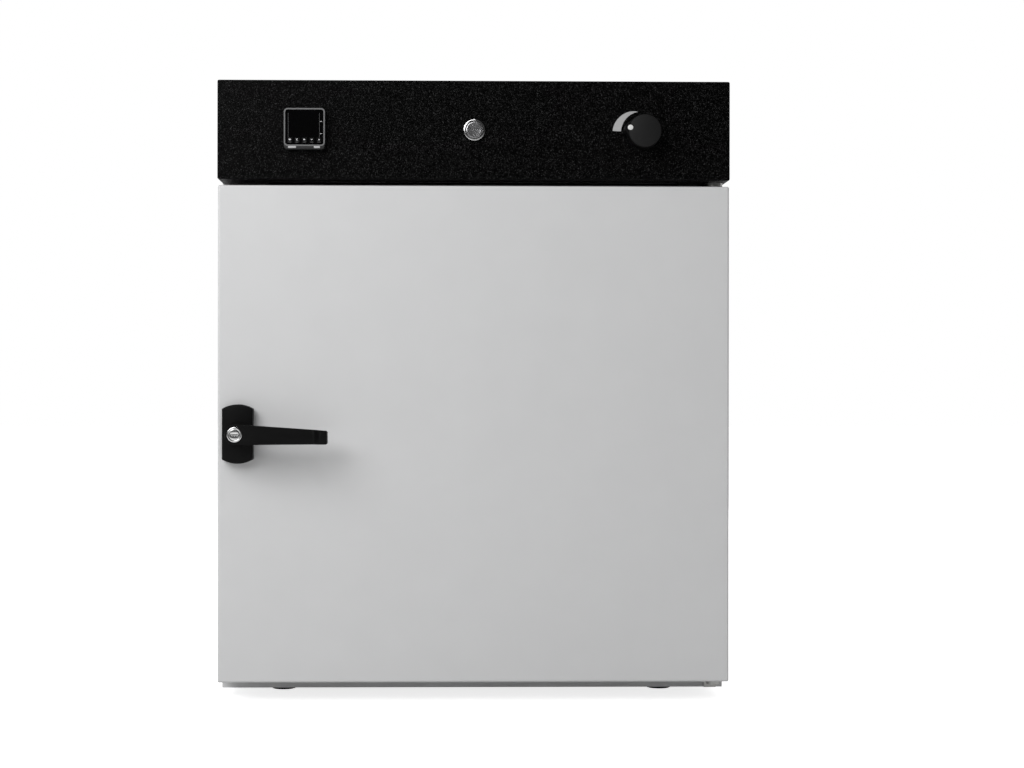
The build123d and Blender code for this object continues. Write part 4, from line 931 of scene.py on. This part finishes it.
# Back: screws and pressed louvre hoods; the rows repeat the slots of the panel
rear = {"screwInset": 14.0, "screwRadius": 4.0, "screwHeight": 2.4, "hoodHalf": 32.0, "hoodUp": 4.2,
        "hoodProud": 2.2, "hoodPitch": 14.0, "hoodLift": 2.6}


def makeRear():
    low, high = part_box("rear_panel")
    inset = rear["screwInset"] * mm
    across, bottom, top = high.x - inset, low.z + inset, high.z - inset
    places = [(x, backFace, bottom + (top - bottom) * n / 2) for x in (-across, across) for n in range(3)]
    places += [(0, backFace, bottom), (0, backFace, top)]
    sizes = {"Radius": rear["screwRadius"], "Height": rear["screwHeight"]}
    bake("rearScrews", screws, places, sizes, toBack, "zincPlated", "case",
         ("rear_screws",), 20)
    hoods = []
    for x in (low.x / 2, 0, high.x / 2):
        for z in (switchZ, chamberZ):
            for row in (-1, 0, 1):
                hoods.append((x, backFace, z + (row * rear["hoodPitch"] + rear["hoodLift"]) * mm))
    sizes = {"Across": rear["hoodHalf"], "Up": rear["hoodUp"], "Proud": rear["hoodProud"]}
    bake("louvreHoods", domes, hoods, sizes, toBack, "caseCoat", "case", (), 60)


# Door lining: rivets round its edge, and the hollow silicone seal
lining = {"rivet": 3.2, "rivetProud": 1.1, "rivetInset": 21.0, "panelDepth": 1.2, "across": 7, "up": 7,
          "sealWidth": 16.0, "sealCorner": 8.0,
          "sealProfile": ((0.6, 0), (0.6, 2.2), (2.2, 4.6), (4.6, 6.4), (7.2, 6.9), (9.2, 6.1),
                          (10.4, 4.4), (12.0, 3.4), (14.2, 3.6), (15.6, 2.4), (15.6, 0))}


def makeLining():
    low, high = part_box("door_inner_panel")
    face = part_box("door_skin")[1].y - lining["panelDepth"] * mm
    inset, across, up = lining["rivetInset"] * mm, lining["across"] - 1, lining["up"] - 1
    left, right, bottom, top = low.x + inset, high.x - inset, low.z + inset, high.z - inset
    places = [(left + (right - left) * n / across, face, z)
              for n in range(across + 1) for z in (bottom, top)]
    places += [(x, face, bottom + (top - bottom) * n / up) for n in range(1, up) for x in (left, right)]
    sizes = {"Across": lining["rivet"], "Up": lining["rivet"], "Proud": lining["rivetProud"]}
    bake("liningRivets", domes, places, sizes, toBack, "zincPlated", "door", (), 60)
    low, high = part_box("door_seal")
    wide, middle = lining["sealWidth"] * mm, middleOf("door_seal")
    width, tall = high.x - low.x - 2 * wide, high.z - low.z - 2 * wide
    section = [(offset * mm, low.y + depth * mm) for offset, depth in lining["sealProfile"]]
    seal = ringSweep(width, tall, lining["sealCorner"] * mm, section, (middle.x, middle.z), 10)
    showPiece("sealLip", seal, "door", "sealSilicone", ("door_seal",), 50)


# Wire shelves: side wires, cross wires and close thin wires welded over them
shelf = {"side": 2.5, "cross": 2.2, "thin": 1.4, "pitch": 17.0, "crosses": 3, "sink": 0.6}


def makeShelf(node, name):
    low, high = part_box(node)
    side, cross, thin, pitch = (shelf[label] * mm for label in ("side", "cross", "thin", "pitch"))
    height, middle = low.z + side, (low.y + high.y) / 2
    first, last = low.y + 2 * cross, high.y - 2 * cross
    steps, count = shelf["crosses"] - 1, int((high.x - low.x - 6 * side) / pitch)
    level = height + cross - shelf["sink"] * mm + thin
    sides = [(low.x + side, middle, height), (high.x - side, middle, height)]
    crosses = [(0, first + (last - first) * n / steps, height) for n in range(steps + 1)]
    rods = [((n - count / 2) * pitch, middle, level) for n in range(count + 1)]
    rows = (("Sides", "side", sides, high.y - low.y, toBack, (node,)),
            ("Crosses", "cross", crosses, high.x - low.x - 2 * side, sideways, ()),
            ("Wires", "thin", rods, last - first + 2 * cross, toBack, ()))
    for label, size, places, length, facing, replaced in rows:
        bake(name + label, wires, places, {"Radius": shelf[size], "Length": length / mm}, facing,
             "bareStainless", "case", replaced)


# Feet, exhaust spigot with its flange screws, mains inlet, and the cover plate under the head, whose bright
# zinc also stands in for light falling into the gap from the left
base = {"footRadius": 15.6, "footStep": 1.0, "footCorner": 18.0, "spigotBore": 18.05, "spigotNeck": 20.0,
        "flange": 2.0, "flangeEdge": 0.4, "fillet": ((1.2, 0), (0.3, 0.4), (0, 1.3)),
        "groove": ((0, -6.0), (-0.7, -5.2), (-0.7, -3.8), (0, -3.0), (0, -0.6), (-0.6, 0)),
        "screwCircle": 25.4, "screwRadius": 2.2, "screwHeight": 1.4, "screwWasher": 0.3,
        "coverWidth": 82.0, "coverInset": 7.0, "coverThickness": 3.0, "coverGap": 0.2, "coverSlope": 0.8,
        "coverEdge": 0.3, "inletEdge": 0.5}


def makeFeet():
    low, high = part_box("feet")
    radius, step = base["footRadius"] * mm, base["footStep"] * mm
    top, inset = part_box("bottom_pan")[0].z, base["footCorner"] * mm * cos(pi / 8)
    profile = [(0, 0), (radius - step * 1.6, 0), (radius - step * 0.4, step),
               (radius, top - step * 0.4), (radius - step * 0.4, top), (0, top)]
    shape = bmesh.new()
    for x in (low.x + inset, high.x - inset):
        for y in (low.y + inset, high.y - inset):
            turned(profile, (x, y), "Z", 48, shape=shape)
    showPiece("rubberFeet", shape, "case", "footRubber", ("feet",))


def makeSpigot():
    low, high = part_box("exhaust_spigot")
    middle, across = middleOf("exhaust_spigot"), (high.x - low.x) / 2
    bore, neck, edge = base["spigotBore"] * mm, base["spigotNeck"] * mm, base["flangeEdge"] * mm
    flange = low.z + base["flange"] * mm
    profile = [(bore, low.z), (across, low.z), (across, flange - edge), (across - edge, flange)]
    profile += [(neck + out * mm, flange + up * mm) for out, up in base["fillet"]]
    profile += [(neck + out * mm, high.z + up * mm) for out, up in base["groove"]]
    ring = turned(profile + [(bore, high.z)], (middle.x, middle.y), "Z", closed=True)
    showPiece("spigotRing", ring, "case", "bareStainless", ("exhaust_spigot",), 30)
    circle = arcPoints((middle.x, middle.y), base["screwCircle"] * mm, 45, 315, 3)
    sizes = {"Radius": base["screwRadius"], "Height": base["screwHeight"], "Washer": base["screwWasher"]}
    bake("spigotScrews", screws, [(x, y, flange) for x, y in circle], sizes, upright, "zincPlated", "case",
         (), 20)


def makeCoverPlateAndPaintedLight():
    # a zinc blanking plate in the gap under the head; its bright tone is also painted light, where light
    # falls into the gap's left end
    frameLow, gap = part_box("front_frame")[0], base["coverGap"] * mm
    low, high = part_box("door_skin")[1].z + gap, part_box("fascia")[0].z - gap
    left = frameLow.x + base["coverInset"] * mm
    right, slope = left + base["coverWidth"] * mm, (high - low) * base["coverSlope"]
    outline = [(left + slope, low), (right, low), (right, high), (left, high)]
    front, edge = frameLow.y - base["coverThickness"] * mm, base["coverEdge"] * mm
    showPiece("coverPlateAndPaintedLight", board(outline, front, frameLow.y, edge), "case", "zincPlated")


def makeInlet():
    inlet = softened("mains_inlet", base["inletEdge"] * mm)
    showPiece("inletShell", inlet, "case", "blackMoulding", ("mains_inlet",))


makeRear()
makeLining()
makeShelf("shelf_lower", "lowerShelf")
makeShelf("shelf_upper", "upperShelf")
makeFeet()
makeSpigot()
makeCoverPlateAndPaintedLight()
makeInlet()
print("back, lining, shelves, feet and spigot made")
